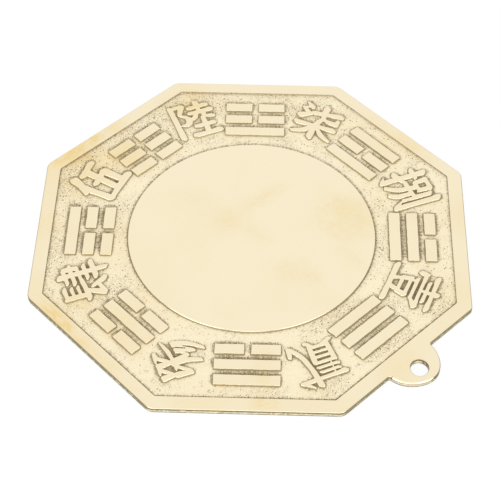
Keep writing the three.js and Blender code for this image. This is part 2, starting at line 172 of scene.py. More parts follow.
class Graph:
    """The node tree of one material or world, with short ways to add nodes."""

    def __init__(self, owner: bpy.types.Material | bpy.types.World) -> None:
        """Clears the owner's tree and starts from nothing.

        Args:
            owner: The material or world.
        """
        owner.use_nodes = True
        self.tree = owner.node_tree
        self.tree.nodes.clear()

    def node(self, kind: str, settings: dict | None = None, inputs: dict | None = None) -> bpy.types.Node:
        """Adds any node.

        Args:
            kind: The node's type.
            settings: Its own properties, such as a Math node's operation.
            inputs: The value, colour or link of each socket, by name or number.

        Returns:
            The node.
        """
        node = self.tree.nodes.new(kind)
        for name, setting in (settings or {}).items():
            setattr(node, name, setting)
        for key, value in (inputs or {}).items():
            socket = value.socket if isinstance(value, Signal) else value
            if isinstance(socket, bpy.types.NodeSocket):
                self.tree.links.new(socket, node.inputs[key])
            elif isinstance(socket, tuple) and node.inputs[key].type == "RGBA":
                node.inputs[key].default_value = (*socket, 1.0)
            else:
                node.inputs[key].default_value = socket
        return node

    def math(self, operation: str, *values: Value, clamp: bool = False) -> Signal:
        """Adds one Math node.

        Args:
            operation: What it works out.
            values: Its numbers and signals in order.
            clamp: Whether the answer is held between 0 and 1.

        Returns:
            The answer.
        """
        settings = {"operation": operation, "use_clamp": clamp}
        return Signal(self, self.node("ShaderNodeMath", settings, dict(enumerate(values))).outputs[0])

    def blend(self, share: Value, first: Tint, second: Tint) -> bpy.types.NodeSocket:
        """Mixes two colours.

        Args:
            share: How much of the second colour shows.
            first: The first colour.
            second: The second colour.

        Returns:
            The mixed colour's socket.
        """
        inputs = {MIX_SHARE: share, MIX_FIRST: first, MIX_SECOND: second}
        return self.node("ShaderNodeMix", {"data_type": "RGBA"}, inputs).outputs[MIX_RESULT]

    def place(self) -> bpy.types.NodeSocket:
        """The point on the surface in the object's own axes."""
        return self.node("ShaderNodeTexCoord").outputs["Object"]

    def axes(self, vector: bpy.types.NodeSocket) -> tuple[Signal, Signal, Signal]:
        """The three parts of a vector."""
        node = self.node("ShaderNodeSeparateXYZ", inputs={0: vector})
        return tuple(Signal(self, socket) for socket in node.outputs)

    def vector(self, x: Value, y: Value, z: Value) -> bpy.types.NodeSocket:
        """A vector from its three parts."""
        return self.node("ShaderNodeCombineXYZ", inputs={0: x, 1: y, 2: z}).outputs[0]

    def attribute(self, name: str) -> Signal:
        """A number that the mesh carries."""
        node = self.node("ShaderNodeAttribute", {"attribute_name": name})
        return Signal(self, node.outputs["Fac"])

    def noise(
        self, grain: float, detail: float = 2.0, at: bpy.types.NodeSocket | None = None, swirl: float = 0.0
    ) -> Signal:
        """Soft noise.

        Args:
            grain: The size of its blots in metres, or in the units of the point.
            detail: How many finer layers it has.
            at: The point that it is read at. The place on the surface if left out.
            swirl: How far it is drawn out into wisps.

        Returns:
            A number about 0.5.
        """
        inputs = {"Vector": at or self.place(), "Scale": 1 / grain, "Detail": detail, "Distortion": swirl}
        return Signal(self, self.node("ShaderNodeTexNoise", inputs=inputs).outputs["Fac"])

    def drawn_out(
        self,
        place: tuple[Value, Value],
        sizes: tuple[float, float],
        detail: float = 3.0,
        layer: float = 0.0,
        swirl: float = 0.0,
    ) -> Signal:
        """Soft noise whose blots are longer one way than the other.

        Args:
            place: Where it is read, as two numbers.
            sizes: The size of its blots along each of them, in the same units.
            detail: How many finer layers it has.
            layer: Which cut through the noise is read, so that two patterns differ.
            swirl: How far it is drawn out into wisps.

        Returns:
            A number about 0.5.
        """
        at = self.vector(place[0] / sizes[0], place[1] / sizes[1], layer)
        return self.noise(1.0, detail, at, swirl)

    def bump(
        self, height: Signal, depth: float, normal: bpy.types.NodeSocket | None = None
    ) -> bpy.types.NodeSocket:
        """Turns a height into a tilt of the surface.

        Args:
            height: The height as a share.
            depth: How high 1 stands, in metres.
            normal: A normal that is bumped already.

        Returns:
            The normal's socket.
        """
        inputs = {"Height": height, "Distance": depth, "Strength": 1.0}
        if normal is not None:
            inputs["Normal"] = normal
        return self.node("ShaderNodeBump", inputs=inputs).outputs["Normal"]


Tint = Union[Colour, bpy.types.NodeSocket]


# Finishes


@dataclass(frozen=True)
class Smudge:
    """A soft patch on the brass.

    Its centre and its reach along X and Y are in metres, strength is how warm or grimy its middle
    is, and a crispness over 1 gives it a flat middle and a sharper edge.
    """

    centre: tuple[float, float]
    reach: tuple[float, float]
    strength: float
    crispness: float = 1.0


def smudges(*rows: tuple[float, ...]) -> tuple[Smudge, ...]:
    """Makes smudges from rows of plain numbers.

    Args:
        rows: For each the centre's x and y and the reach along X and Y, all in millimetres, the
            strength, and the crispness if it isn't 1.

    Returns:
        The smudges.
    """
    return tuple(Smudge(mm(x, y), mm(wide, high), *rest) for x, y, wide, high, *rest in rows)


PLATE_SMUDGES = smudges(
    (15.6, -58.3, 4, 3, 1.0),
    (8, -58.6, 3, 2, 0.8),
    (1, -58, 3, 2, 0.45),
    (22, -59, 3, 2, 0.5),
    (15, -50, 11, 8, 0.5),
    (4, -47, 6, 5, 0.35),
    (58.4, -15, 2.2, 3, 0.75),
    (58.6, -9.5, 2, 3, 0.8),
    (58.6, -3, 2, 3, 0.6),
    (59, 6, 2.5, 9, 0.35),
    (58, -20, 3, 4, 0.4),
    (50, -14, 4, 4, 0.3),
    (37, 43.5, 2.6, 3.2, 0.55),
    (31.5, 37.5, 2.6, 3.2, 0.4),
    (27, 33.5, 2.4, 2.6, 0.3),
    (39, -43, 5, 6, 0.35),
    (-21, -50, 6, 5, 0.6),
    (-57.5, 8, 2.5, 7, 0.35),
    (3, 59, 6, 4, 0.2),
    (50, 0, 3.5, 12, 0.35),
    (45, 0, 2.5, 12, 0.2),
)
GRIME_PATCHES = smudges(
    (-10, 43, 7, 5, 0.25),
    (44, -9, 6, 8, 0.25),
    (-10, -50, 9, 5, 0.2),
    (0, 52.8, 9, 1.3, 0.7),
    (4, 36.8, 10, 2.2, 0.45),
    (-25, 27, 6, 4, 0.15),
    (20, 52.5, 3.5, 1.6, 0.8),
    (-19.5, 54.8, 3.5, 1.4, 0.8),
    (36, 36, 9, 9, 0.3),
    (8, -39, 8, 5, -0.2),
    (-20, -32, 9, 6, -0.1),
    (-37, -4, 5, 14, -0.15),
    (-52, -2, 5, 13, -0.25),
    (34, -44, 6, 6, -0.15),
)
MIRROR_SMUDGES = smudges(
    (-24.5, 15.5, 9.5, 9.5, 0.3, 5.0),
    (-26, 14, 5, 8, 0.3),
    (-14.5, -7, 4, 2.2, 0.5),
    (-8.5, -7.5, 5, 2, 0.35),
    (2, -8.5, 5, 4, 0.4),
    (-1, 1, 3, 5, 0.35),
    (2, 17, 5, 3.5, 0.4),
    (-1, 23, 4, 3, 0.4),
    (-14, 25, 2, 6, 0.3),
    (5, -21, 7, 6, 0.15),
)
PATCH_RAGGEDNESS = 1.6
CLOUD_SIZE = 22 * MM

# x + y in the middle of the plate's side between +X and +Y
DIAGONAL_REACH = 85 * MM

PALE_BRASS = paint(247, 234, 202)
MIRROR_BRASS = paint(248, 236, 205)
WARM_BRASS = paint(240, 214, 152)
FIELD_BRASS = paint(252, 241, 211)
SAND = paint(192, 168, 120)
PATINA = paint(186, 170, 138)
WALL_PATINA = paint(176, 161, 124)
DARK_PATINA = paint(121, 103, 75)
SPECK = paint(112, 86, 50)
OLD_EDGE = paint(150, 142, 104)
EDGE_STAIN = paint(116, 101, 62)


class BrassShader:
    """The start of every brass material: its graph, the place on the surface and the smudges."""

    def __init__(self, name: str, roughness: float) -> None:
        """Makes the material with a metallic shader.

        Args:
            name: The material's name.
            roughness: How rough it is where nothing else drives that.
        """
        self.material = bpy.data.materials.new(name)
        self.graph = Graph(self.material)
        inputs = {"Metallic": 1.0, "Roughness": roughness, "Specular IOR Level": 0.1}
        self.shader = self.graph.node("ShaderNodeBsdfPrincipled", inputs=inputs)
        self.graph.node("ShaderNodeOutputMaterial", inputs={0: self.shader.outputs[0]})
        self.x, self.y, self.z = self.graph.axes(self.graph.place())

    def side_axes(self, lean: tuple[float, float] = (0.0, 0.0)) -> tuple[Signal, Signal]:
        """The place along the octagon's nearest side, and outwards from the centre to that side.

        Args:
            lean: How far a pattern that is read there is moved along X and Y.

        Returns:
            The two places.
        """
        x, y = self.x - lean[0], self.y - lean[1]
        side = self.graph.math("ROUND", self.graph.math("ARCTAN2", y, x) / SECTOR) * SECTOR
        cosine, sine = self.graph.math("COSINE", side), self.graph.math("SINE", side)
        return y * cosine - x * sine, x * cosine + y * sine

    def toward_xy_side(self, low: float, high: float) -> Signal:
        """A smooth step across the plate towards its side between +X and +Y.

        Args:
            low: Where it starts, 0 in the centre and 1 at that side.
            high: Where it ends.

        Returns:
            The step from 0 to 1.
        """
        return ((self.x + self.y) / DIAGONAL_REACH).rising(low, high)

    def patches(self, patches: tuple[Smudge, ...]) -> Signal:
        """The sum of the patches, each a bell of its distance from its centre.

        Args:
            patches: The patches.

        Returns:
            The sum of their strengths.
        """
        drift = self.graph.noise(5 * MM) - 0.5
        total: Value = 0.0
        for patch in patches:
            across = (self.x - patch.centre[0]) / patch.reach[0] + drift * PATCH_RAGGEDNESS
            along = (self.y - patch.centre[1]) / patch.reach[1] - drift * PATCH_RAGGEDNESS
            square = across * across + along * along
            if patch.crispness != 1.0:
                square = self.graph.math("POWER", square, patch.crispness)
            total = total + (-square).exp() * patch.strength
        return total

    def tarnish(
        self,
        patches: tuple[Smudge, ...],
        place: tuple[Signal, Signal],
        sizes: tuple[float, float],
        cloudiness: float,
    ) -> Signal:
        """How warm the brass is: faint clouds, and smudges that wisps break up.

        Args:
            patches: The smudges.
            place: The place that the wisps follow.
            sizes: The wisps' length and width.
            cloudiness: How warm the clouds are.

        Returns:
            The warmth, from 0 to 1.
        """
        wisps = self.graph.drawn_out(place, sizes, 4.0, swirl=1.2)
        smudged = (self.patches(patches) * (0.5 + wisps.rising(0.3, 0.7) * 0.7)).clamped()
        clouds = self.graph.noise(CLOUD_SIZE, 3.0).rising(0.4, 0.75) * cloudiness
        return (clouds + smudged).clamped()

    def rim_tarnish(self) -> Signal:
        """How warm the plate and its figures are, with wisps drawn out along the rim."""
        return self.tarnish(PLATE_SMUDGES, self.side_axes(), mm(4, 1.3), 0.22)

    def connect(self, name: str, value: Signal | bpy.types.NodeSocket) -> None:
        """Lets a signal, a colour or a normal drive one of the shader's inputs."""
        socket = value.socket if isinstance(value, Signal) else value
        self.graph.tree.links.new(socket, self.shader.inputs[name])


@dataclass(frozen=True)
class PlateFinish:
    """Polished rim, old side wall and a cast field that holds patina.

    The mesh tells them apart by numbers on its points: field is 1 on the sunk field, side is 1 on
    the outer wall, sheen is high where a painted sheen lies on the walls that face +X to +X+Y, seam
    is 1 on the rim's inner wall, pit is 1 at the bottom of a pit, edge is a thin line round the
    raised figures, fringe reaches a little further, and shelter is high in the narrow places
    between them.
    """

    field_apothem: float
    disc_radius: float
    patina_lean: tuple[float, float]
    hair_width: float = 0.27 * MM
    hair_length: float = 1.8 * MM
    speck_spacing: float = 0.95 * MM
    grain: float = 0.32 * MM
    mottle: float = 0.6 * MM
    rim_roughness: float = 0.26
    grain_depth: float = 0.05 * MM
    polish_depth: float = 0.05 * MM
    grinding_depth: float = 0.02 * MM

    def hairs(self, shader: BrassShader) -> Signal:
        """Fine scratches square to the octagon's nearest side and along it, and spokes by the disc.

        Args:
            shader: The material in the making.

        Returns:
            How strong they are, from 0 to a little over 1.
        """
        graph = shader.graph
        width, length = self.hair_width, self.hair_length
        place = shader.side_axes()
        square = graph.drawn_out(place, (width, length), 1.0).rising(0.5, 0.6)
        level = graph.drawn_out(place, (length, width), 1.0, layer=7.0).rising(0.53, 0.63)
        radius = graph.math("SQRT", shader.x * shader.x + shader.y * shader.y)
        polar = (graph.math("ARCTAN2", shader.y, shader.x), radius)
        spokes = graph.drawn_out(polar, (width / self.disc_radius, length), 1.0, layer=4.0).rising(0.5, 0.6)
        by_disc = ((self.disc_radius - radius) / (1.2 * MM)).exp().clamped()
        return spokes * by_disc + (square + level * 0.6) * (1 - by_disc)

    def specks(self, shader: BrassShader, clusters: Signal) -> Signal:
        """Fine dark specks: discs about scattered points, many left out, thicker in the clusters.

        Args:
            shader: The material in the making.
            clusters: Where the specks are thick, from 0 to 1.

        Returns:
            How dark they are, from 0 to 1.
        """
        graph = shader.graph
        inputs = {"Vector": graph.place(), "Scale": 1 / self.speck_spacing}
        node = graph.node("ShaderNodeTexVoronoi", {"voronoi_dimensions": "2D"}, inputs)
        chance = Signal(graph, node.outputs["Color"]) + clusters * 0.2 - 0.08
        ragged = Signal(graph, node.outputs["Distance"]) + (graph.noise(0.3 * MM) - 0.5) * 0.5
        pits = ragged.rising(0.2, 0.1) * (chance - shader.toward_xy_side(0.2, 0.5) * 0.12).rising(0.66, 0.7)
        grains = graph.noise(0.24 * MM, 1.0).rising(0.61, 0.67) * (0.1 + clusters * 0.9)
        return (pits + grains).clamped()

    def cracks(self, shader: BrassShader) -> Signal:
        """Short curved hairlines: where a noise crosses its middle, in a few places.

        Args:
            shader: The material in the making.

        Returns:
            How dark they are, from 0 to 1.
        """
        graph = shader.graph
        crossing = (graph.noise(1.5 * MM, 3.0) - 0.5).absolute()
        places = graph.noise(2.2 * MM, 1.0).rising(0.6, 0.66)
        return crossing.rising(0.02, 0.004) * places

    def seam(self, shader: BrassShader, grain: Signal) -> Signal:
        """The dark line where the field meets the rim, wider and darker in places by the tab.

        Args:
            shader: The material in the making.
            grain: The casting grain, which frays the line.

        Returns:
            How dark it is, about from 0 to 1.
        """
        graph = shader.graph
        by_tab = shader.y.rising(52 * MM, 54.5 * MM) * graph.noise(1.6 * MM, 3.0).rising(0.4, 0.55)
        _, out = shader.side_axes(self.patina_lean)
        gap = self.field_apothem - out + (grain - 0.5) * 0.3 * MM - by_tab * 0.2 * MM
        on_floor = gap.rising(0.28 * MM, 0.08 * MM) * (0.6 + by_tab * 0.4)
        return graph.math("MAXIMUM", on_floor, graph.attribute("seam") * (1 + by_tab * 0.5))

    def floor(
        self, shader: BrassShader, warmth: Signal, grain: Signal
    ) -> tuple[bpy.types.NodeSocket, Signal]:
        """The field in layers: sandy brass, pale patina, dark patina about the figures, and marks.

        Args:
            shader: The material in the making.
            warmth: How warm the bare brass is.
            grain: The casting grain.

        Returns:
            The colour, and how far dark patina and marks cover the metal, from 0 to 1.
        """
        graph = shader.graph
        edge, fringe, shelter, pit = map(graph.attribute, ("edge", "fringe", "shelter", "pit"))
        mottle = graph.noise(self.mottle, 3.0)
        # This step rises towards the -X-Y side, where the field's patina is drawn less dark.
        paler = shader.toward_xy_side(-0.1, -0.8)
        away = (shader.x * 0.4 + shader.y) / (-400 * MM)
        clusters = (graph.noise(8 * MM, 2.0) + away + shader.patches(GRIME_PATCHES)).rising(0.38, 0.72)

        sand = grain.rising(0.5, 0.6) * (0.07 + clusters * 0.35 + shader.toward_xy_side(-0.3, 0.3) * 0.08)
        sanded = graph.blend(sand, graph.blend(warmth, FIELD_BRASS, WARM_BRASS), SAND)

        sheltered = (shelter - paler * 0.04 + (mottle - 0.5) * 0.35).rising(0.3, 0.5)
        hatched = self.hairs(shader) * fringe.rising(0.015, 0.2)
        light = sheltered * (0.3 + grain.rising(0.35, 0.6) * 0.65) * (1 - paler * 0.3) + hatched * 0.8
        patina = graph.blend(light.clamped(), sanded, PATINA)

        line = (edge * (0.5 + mottle) + (grain - 0.5) * 0.15).rising(0.04, 0.19)
        ragged = (0.22 + grain.rising(0.42, 0.6) * 0.35) * (1 - paler * 0.35)
        deep = (shelter - paler * 0.08 + (mottle - 0.5) * 0.5).rising(0.48, 0.66)
        rough_deep = deep * (0.35 + grain.rising(0.4, 0.6) * 0.5)
        seam = self.seam(shader, grain) * 0.42
        dark = (line * ragged + hatched * line * 0.2 + rough_deep + seam).clamped()
        marks = (self.specks(shader, clusters) * 0.9 + self.cracks(shader) * 0.5 + pit * 0.3).clamped()
        colour = graph.blend(marks, graph.blend(dark, patina, DARK_PATINA), SPECK)
        return colour, (dark + marks).clamped()

    def outer_wall(self, shader: BrassShader) -> bpy.types.NodeSocket:
        """The outer wall's colour: old stained brass with a painted sheen where it faces +X to +X+Y.

        Args:
            shader: The material in the making.

        Returns:
            The colour.
        """
        graph, z = shader.graph, shader.z
        # Painted sheen: this mark is high where the wall faces +X to +X+Y, and on the hole's side that faces
        # +X+Y; there the wall is drawn paler.
        rubbed = graph.attribute("rubbed")
        round_plate = graph.math("ARCTAN2", shader.y, shader.x) * self.field_apothem
        streaks = graph.drawn_out((round_plate, z), mm(2.5, 0.35))
        middle = z.rising(0.35 * MM, 0.6 * MM) * z.rising(1.2 * MM, 0.95 * MM)
        off_edges = z.rising(0.2 * MM, 0.45 * MM) * z.rising(1.45 * MM, 1.2 * MM)
        glints = graph.noise(0.9 * MM, 2.0).rising(0.52, 0.66) * 0.6 * off_edges
        # Painted sheen: a pale band along the middle of the wall where that mark is high.
        polished = rubbed * middle * (0.55 + streaks.rising(0.35, 0.6) * 0.45)
        bright = (streaks.rising(0.5, 0.7) * 0.3 * middle + glints + polished).clamped()
        # Painted shade: the rest of the tab's wall, which faces away from +X, is stained darker.
        on_tab = shader.y.rising(61 * MM, 62.5 * MM) * (1 - rubbed)
        stain_and_shade = (streaks.rising(0.5, 0.35) * 0.3 + (1 - middle) * 0.4 + on_tab * 0.7).clamped()
        return graph.blend(bright, graph.blend(stain_and_shade, OLD_EDGE, EDGE_STAIN), PALE_BRASS)

    def build(self, name: str) -> bpy.types.Material:
        """Makes the material.

        Args:
            name: Its name.

        Returns:
            The material.
        """
        shader = BrassShader(name, 0.3)
        graph = shader.graph
        in_field, on_side = graph.attribute("field"), graph.attribute("side")
        warmth = shader.rim_tarnish()
        grain = graph.noise(self.grain, 3.0)
        floor, covered = self.floor(shader, warmth, grain)
        face = graph.blend(in_field, graph.blend(warmth, PALE_BRASS, WARM_BRASS), floor)
        outside = graph.blend(on_side, face, self.outer_wall(shader))

        on_back = shader.z.rising(0.1 * MM, 0.03 * MM)
        grinding = graph.drawn_out((shader.x, shader.y), mm(22, 0.4))
        dulled = graph.noise(15 * MM, 4.0).rising(0.45, 0.75) * 0.3 + grinding.rising(0.5, 0.75) * 0.25
        back = graph.blend(dulled, PALE_BRASS, SAND)
        rougher = in_field * 0.24 + on_side * 0.1 + on_back * (0.06 + grinding * 0.16)
        shader.connect("Base Color", graph.blend(on_back, outside, back))
        shader.connect("Roughness", self.rim_roughness + rougher)
        shader.connect("Metallic", 1 - covered * in_field * 0.7)

        cast = graph.bump(grain * in_field, self.grain_depth)
        polish = graph.bump(graph.noise(9 * MM, 1.0), self.polish_depth, cast)
        shader.connect("Normal", graph.bump(grinding * on_back, self.grinding_depth, polish))
        return shader.material


@dataclass(frozen=True)
class MirrorFinish:
    """Polished brass with faint warm smudges and fine wiping marks. Its foot holds patina, which a painted
    reflection makes paler on the +X+Y side.
    """

    floor_height: float
    top_height: float
    polish_depth: float = 0.05 * MM

    def build(self, name: str) -> bpy.types.Material:
        """Makes the material.

        Args:
            name: Its name.

        Returns:
            The material.
        """
        shader = BrassShader(name, 0.14)
        graph = shader.graph
        place = (shader.x, shader.y)
        warmth = shader.tarnish(MIRROR_SMUDGES, place, mm(3, 1.8), 0.2)
        clean_face = graph.blend(warmth * 0.6, MIRROR_BRASS, WARM_BRASS)
        wiped = graph.drawn_out(place, mm(14, 1.4))
        face = graph.blend(wiped.rising(0.5, 0.8) * 0.02, clean_face, PATINA)
        rise = (shader.z - self.floor_height) / (self.top_height - self.floor_height)
        worn = graph.noise(0.35 * MM, 3.0) - 0.5
        # Painted reflection: on the +X+Y side the disc's wall has less patina and is drawn paler.
        near = shader.toward_xy_side(0.42, 0.55)
        creeping = graph.blend((rise + worn * 0.5 + near * 0.12).rising(0.95, 0.55), face, WALL_PATINA)
        grime = (rise + worn * 0.9).rising(0.9, 0.1)
        # How dark the foot's patina is: less on the +X+Y side, a painted reflection, and a little less
        # towards -X-Y.
        kept = 0.56 - shader.toward_xy_side(0.4, 0.6) * 0.3 - shader.toward_xy_side(-0.1, -0.6) * 0.1
        shader.connect("Base Color", graph.blend(grime * kept, creeping, DARK_PATINA))
        shader.connect("Metallic", 1 - rise.rising(0.9, 0.4) * 0.7)
        shader.connect("Roughness", 0.13 + wiped.rising(0.45, 0.8) * 0.08 + grime * 0.3)
        shader.connect("Normal", graph.bump(graph.noise(16 * MM, 1.0), self.polish_depth))
        return shader.material


@dataclass(frozen=True)
class ReliefFinish:
    """Brass of a raised figure: polished on top, with dark patina that creeps up from its foot.

    clean_share is the share of the figure's rise at which the patina ends. The patina is darker
    where the mesh's shelter is high, in the narrow places between figures, and lighter towards -X-Y
    and up to lit_reach outwards from the centre, where painted light lies on the walls that face the disc.
    """

    floor_height: float
    top_height: float
    clean_share: float
    roughness: float
    lit_reach: float = 38.9 * MM
    cast_depth: float = 0.025 * MM

    def build(self, name: str) -> bpy.types.Material:
        """Makes the material.

        Args:
            name: Its name.

        Returns:
            The material.
        """
        shader = BrassShader(name, self.roughness)
        graph = shader.graph
        face = graph.blend(shader.rim_tarnish(), PALE_BRASS, WARM_BRASS)
        worn = graph.noise(0.35 * MM, 3.0)
        rise = (shader.z - self.floor_height) / (self.top_height - self.floor_height)
        level = rise + (worn - 0.5) * 0.5
        creeping = graph.blend(level.rising(self.clean_share, self.clean_share - 0.4), face, WALL_PATINA)
        wall = (level + (worn - 0.5) * 0.5).rising(0.8, 0.1)
        narrow = graph.attribute("shelter").rising(0.42, 0.62)
        # This step rises towards the -X-Y side, where the figures' patina is drawn less dark.
        paler = shader.toward_xy_side(-0.1, -0.8)
        _, out = shader.side_axes()
        # Painted light: the walls that face the disc, up to this reach from the centre, get less dark
        # patina.
        by_disc = out.rising(self.lit_reach, self.lit_reach - 0.4 * MM)
        kept = 0.3 + narrow * 0.4 - paler * 0.35 - by_disc * 0.18
        shader.connect("Base Color", graph.blend(wall * kept, creeping, DARK_PATINA))
        shader.connect("Metallic", 1 - level.rising(0.9, 0.5) * 0.7)
        shader.connect("Normal", graph.bump(graph.noise(0.9 * MM, 2.0), self.cast_depth))
        return shader.material


# Mesh helpers

# The triangulation's way of leaving out the holes, and the gap in millimetres under which points are one
INSIDE_WITH_HOLES = 2
MERGE_GAP = 1e-7

# How many pairs of a point and an outline's side are worked out at once
LARGEST_BLOCK = 4_000_000


def new_object(name: str, data: bpy.types.ID) -> bpy.types.Object:
    """Puts an object with some data into the scene.

    Args:
        name: The object's name.
        data: Its mesh, lamp or camera.

    Returns:
        The object.
    """
    made = bpy.data.objects.new(name, data)
    bpy.context.scene.collection.objects.link(made)
    return made


@dataclass
class Form:
    """A mesh in the making: its points, its faces, which faces are flat, and numbers on its points."""

    points: list[np.ndarray] = field(default_factory=list)
    faces: list[tuple[int, ...]] = field(default_factory=list)
    flat: list[bool] = field(default_factory=list)
    marks: dict[str, list[np.ndarray]] = field(default_factory=dict)
    count: int = 0

    def add_points(self, points: np.ndarray, **marks: np.ndarray | float) -> np.ndarray:
        """Adds points.

        Args:
            points: Their places, one row each.
            marks: Numbers that they carry, by attribute name, one for all or one each.

        Returns:
            Their indices.
        """
        start = self.count
        self.points.append(points)
        self.count += len(points)
        for name in self.marks:
            value = marks.get(name, 0.0)
            self.marks[name].append(np.broadcast_to(np.asarray(value, float), len(points)))
        return np.arange(start, self.count)

    def add_faces(self, faces: np.ndarray, flat: bool = False) -> None:
        """Adds faces that have equally many corners, shaded flat or smooth."""
        self.faces.extend(map(tuple, faces.tolist()))
        self.flat.extend([flat] * len(faces))

    def stack(self, loops: list[np.ndarray], hollow: bool = False) -> None:
        """Joins each closed loop of points to the next with quads.

        Args:
            loops: The indices of each loop, in order. All run anticlockwise.
            hollow: Whether the faces look inwards, as on a hole's wall.
        """
        for lower, upper in zip(loops[:-1], loops[1:]):
            if hollow:
                lower, upper = upper, lower
            self.add_faces(np.stack([lower, np.roll(lower, -1), np.roll(upper, -1), upper], axis=1))

    def enclose(self, loops: list[np.ndarray]) -> None:
        """Makes a closed solid: joins the loops, and fills the last one upwards and the first one downwards.

        Args:
            loops: The indices of each loop, from the bottom to the top.
        """
        self.stack(loops)
        self.cap([loops[-1]], 1)
        self.cap([loops[0]], -1)

    def cap(self, loops: list[np.ndarray], facing: int) -> None:
        """Fills the flat region between an outer loop and the loops inside it with triangles.

        Args:
            loops: The indices of each loop.
            facing: 1 to face up, -1 to face down.
        """
        every = np.concatenate(loops)
        places = np.concatenate(self.points)[every]
        bounds = np.cumsum([0] + [len(loop) for loop in loops])
        rings = [list(range(first, last)) for first, last in zip(bounds[:-1], bounds[1:])]
        flat_points = [Vector(point[:2] / MM) for point in places]
        result = delaunay_2d_cdt(flat_points, [], rings, INSIDE_WITH_HOLES, MERGE_GAP)
        owners = np.array([every[origins[0]] for origins in result[3]])
        triangles = owners[np.array(result[2])]
        self.add_faces(triangles[:, ::facing], flat=True)

    def to_object(self, name: str, material: bpy.types.Material, slot: Slot) -> bpy.types.Object:
        """Makes the finished piece.

        Args:
            name: The piece's name.
            material: Its material.
            slot: The record's slot for the piece's finish. It is not used.

        Returns:
            The object, which rides on the body.
        """
        mesh = bpy.data.meshes.new(name)
        mesh.from_pydata(np.concatenate(self.points).tolist(), [], self.faces)
        mesh.polygons.foreach_set("use_smooth", np.logical_not(self.flat))
        for mark, values in self.marks.items():
            attribute = mesh.attributes.new(mark, "FLOAT", "POINT")
            attribute.data.foreach_set("value", np.concatenate(values).astype(np.float32))
        mesh.materials.append(material)
        mesh.update()
        piece = new_object(name, mesh)
        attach(piece, BODY)
        return piece


def lifted(outline: np.ndarray, height: float | np.ndarray) -> np.ndarray:
    """Flat points at one height, or at a height each."""
    return np.column_stack([outline, np.broadcast_to(height, len(outline))])


def turn_by(angle: float) -> np.ndarray:
    """The matrix that turns rows of flat points about the origin."""
    return np.array([[math.cos(angle), math.sin(angle)], [-math.sin(angle), math.cos(angle)]])


def arc(
    centre: np.ndarray | tuple[float, float], radius: float, start: float, end: float, steps: int
) -> np.ndarray:
    """Points along a circle's arc.

    Args:
        centre: The circle's centre.
        radius: Its radius.
        start: The angle of the first point.
        end: The angle of the last point.
        steps: How many steps lie between them.

    Returns:
        The points, steps + 1 of them.
    """
    angles = np.linspace(start, end, steps + 1)
    return np.column_stack([centre[0] + radius * np.cos(angles), centre[1] + radius * np.sin(angles)])


def split(outline: np.ndarray, parts: np.ndarray) -> np.ndarray:
    """Splits each side of a closed outline into equal parts.

    Args:
        outline: The outline's points.
        parts: How many parts each side gets.

    Returns:
        The points of the finer outline.
    """
    runs = np.roll(outline, -1, axis=0) - outline
    pieces = [outline[i] + runs[i] * np.arange(count)[:, None] / count for i, count in enumerate(parts)]
    return np.concatenate(pieces)


def between(grid: np.ndarray, low: np.ndarray, high: np.ndarray, share: np.ndarray) -> np.ndarray:
    """Blends a grid's values between four of its points.

    Args:
        grid: The values.
        low: The row and column of the first of the four, for each place.
        high: The row and column of the last of them.
        share: How far each place lies from the first to the last, by rows and by columns.

    Returns:
        The value at each place.
    """
    (x0, y0), (x1, y1), (across, along) = low.T, high.T, share.T
    first = grid[x0, y0] * (1 - across) + grid[x1, y0] * across
    last = grid[x0, y1] * (1 - across) + grid[x1, y1] * across
    return first * (1 - along) + last * along


def soft_noise(points: np.ndarray, cell: float, seed: int) -> np.ndarray:
    """Random heights on a square lattice, blended smoothly between its corners.

    Args:
        points: Flat points, one row each.
        cell: The lattice's spacing.
        seed: What the random heights start from.

    Returns:
        A number from 0 to 1 for each point.
    """
    size = 256
    lattice = np.random.default_rng(seed).random((size, size))
    spot = points / cell
    corner = np.floor(spot).astype(int)
    share = spot - corner
    smooth = share * share * (3 - 2 * share)
    return between(lattice, corner % size, (corner + 1) % size, smooth)


def blocks(points: np.ndarray, sides: int) -> list[np.ndarray]:
    """The points' indices in blocks that are small enough to be worked out with every side at once."""
    return np.array_split(np.arange(len(points)), len(points) * sides // LARGEST_BLOCK + 1)


# Outlines of the frame's nodes


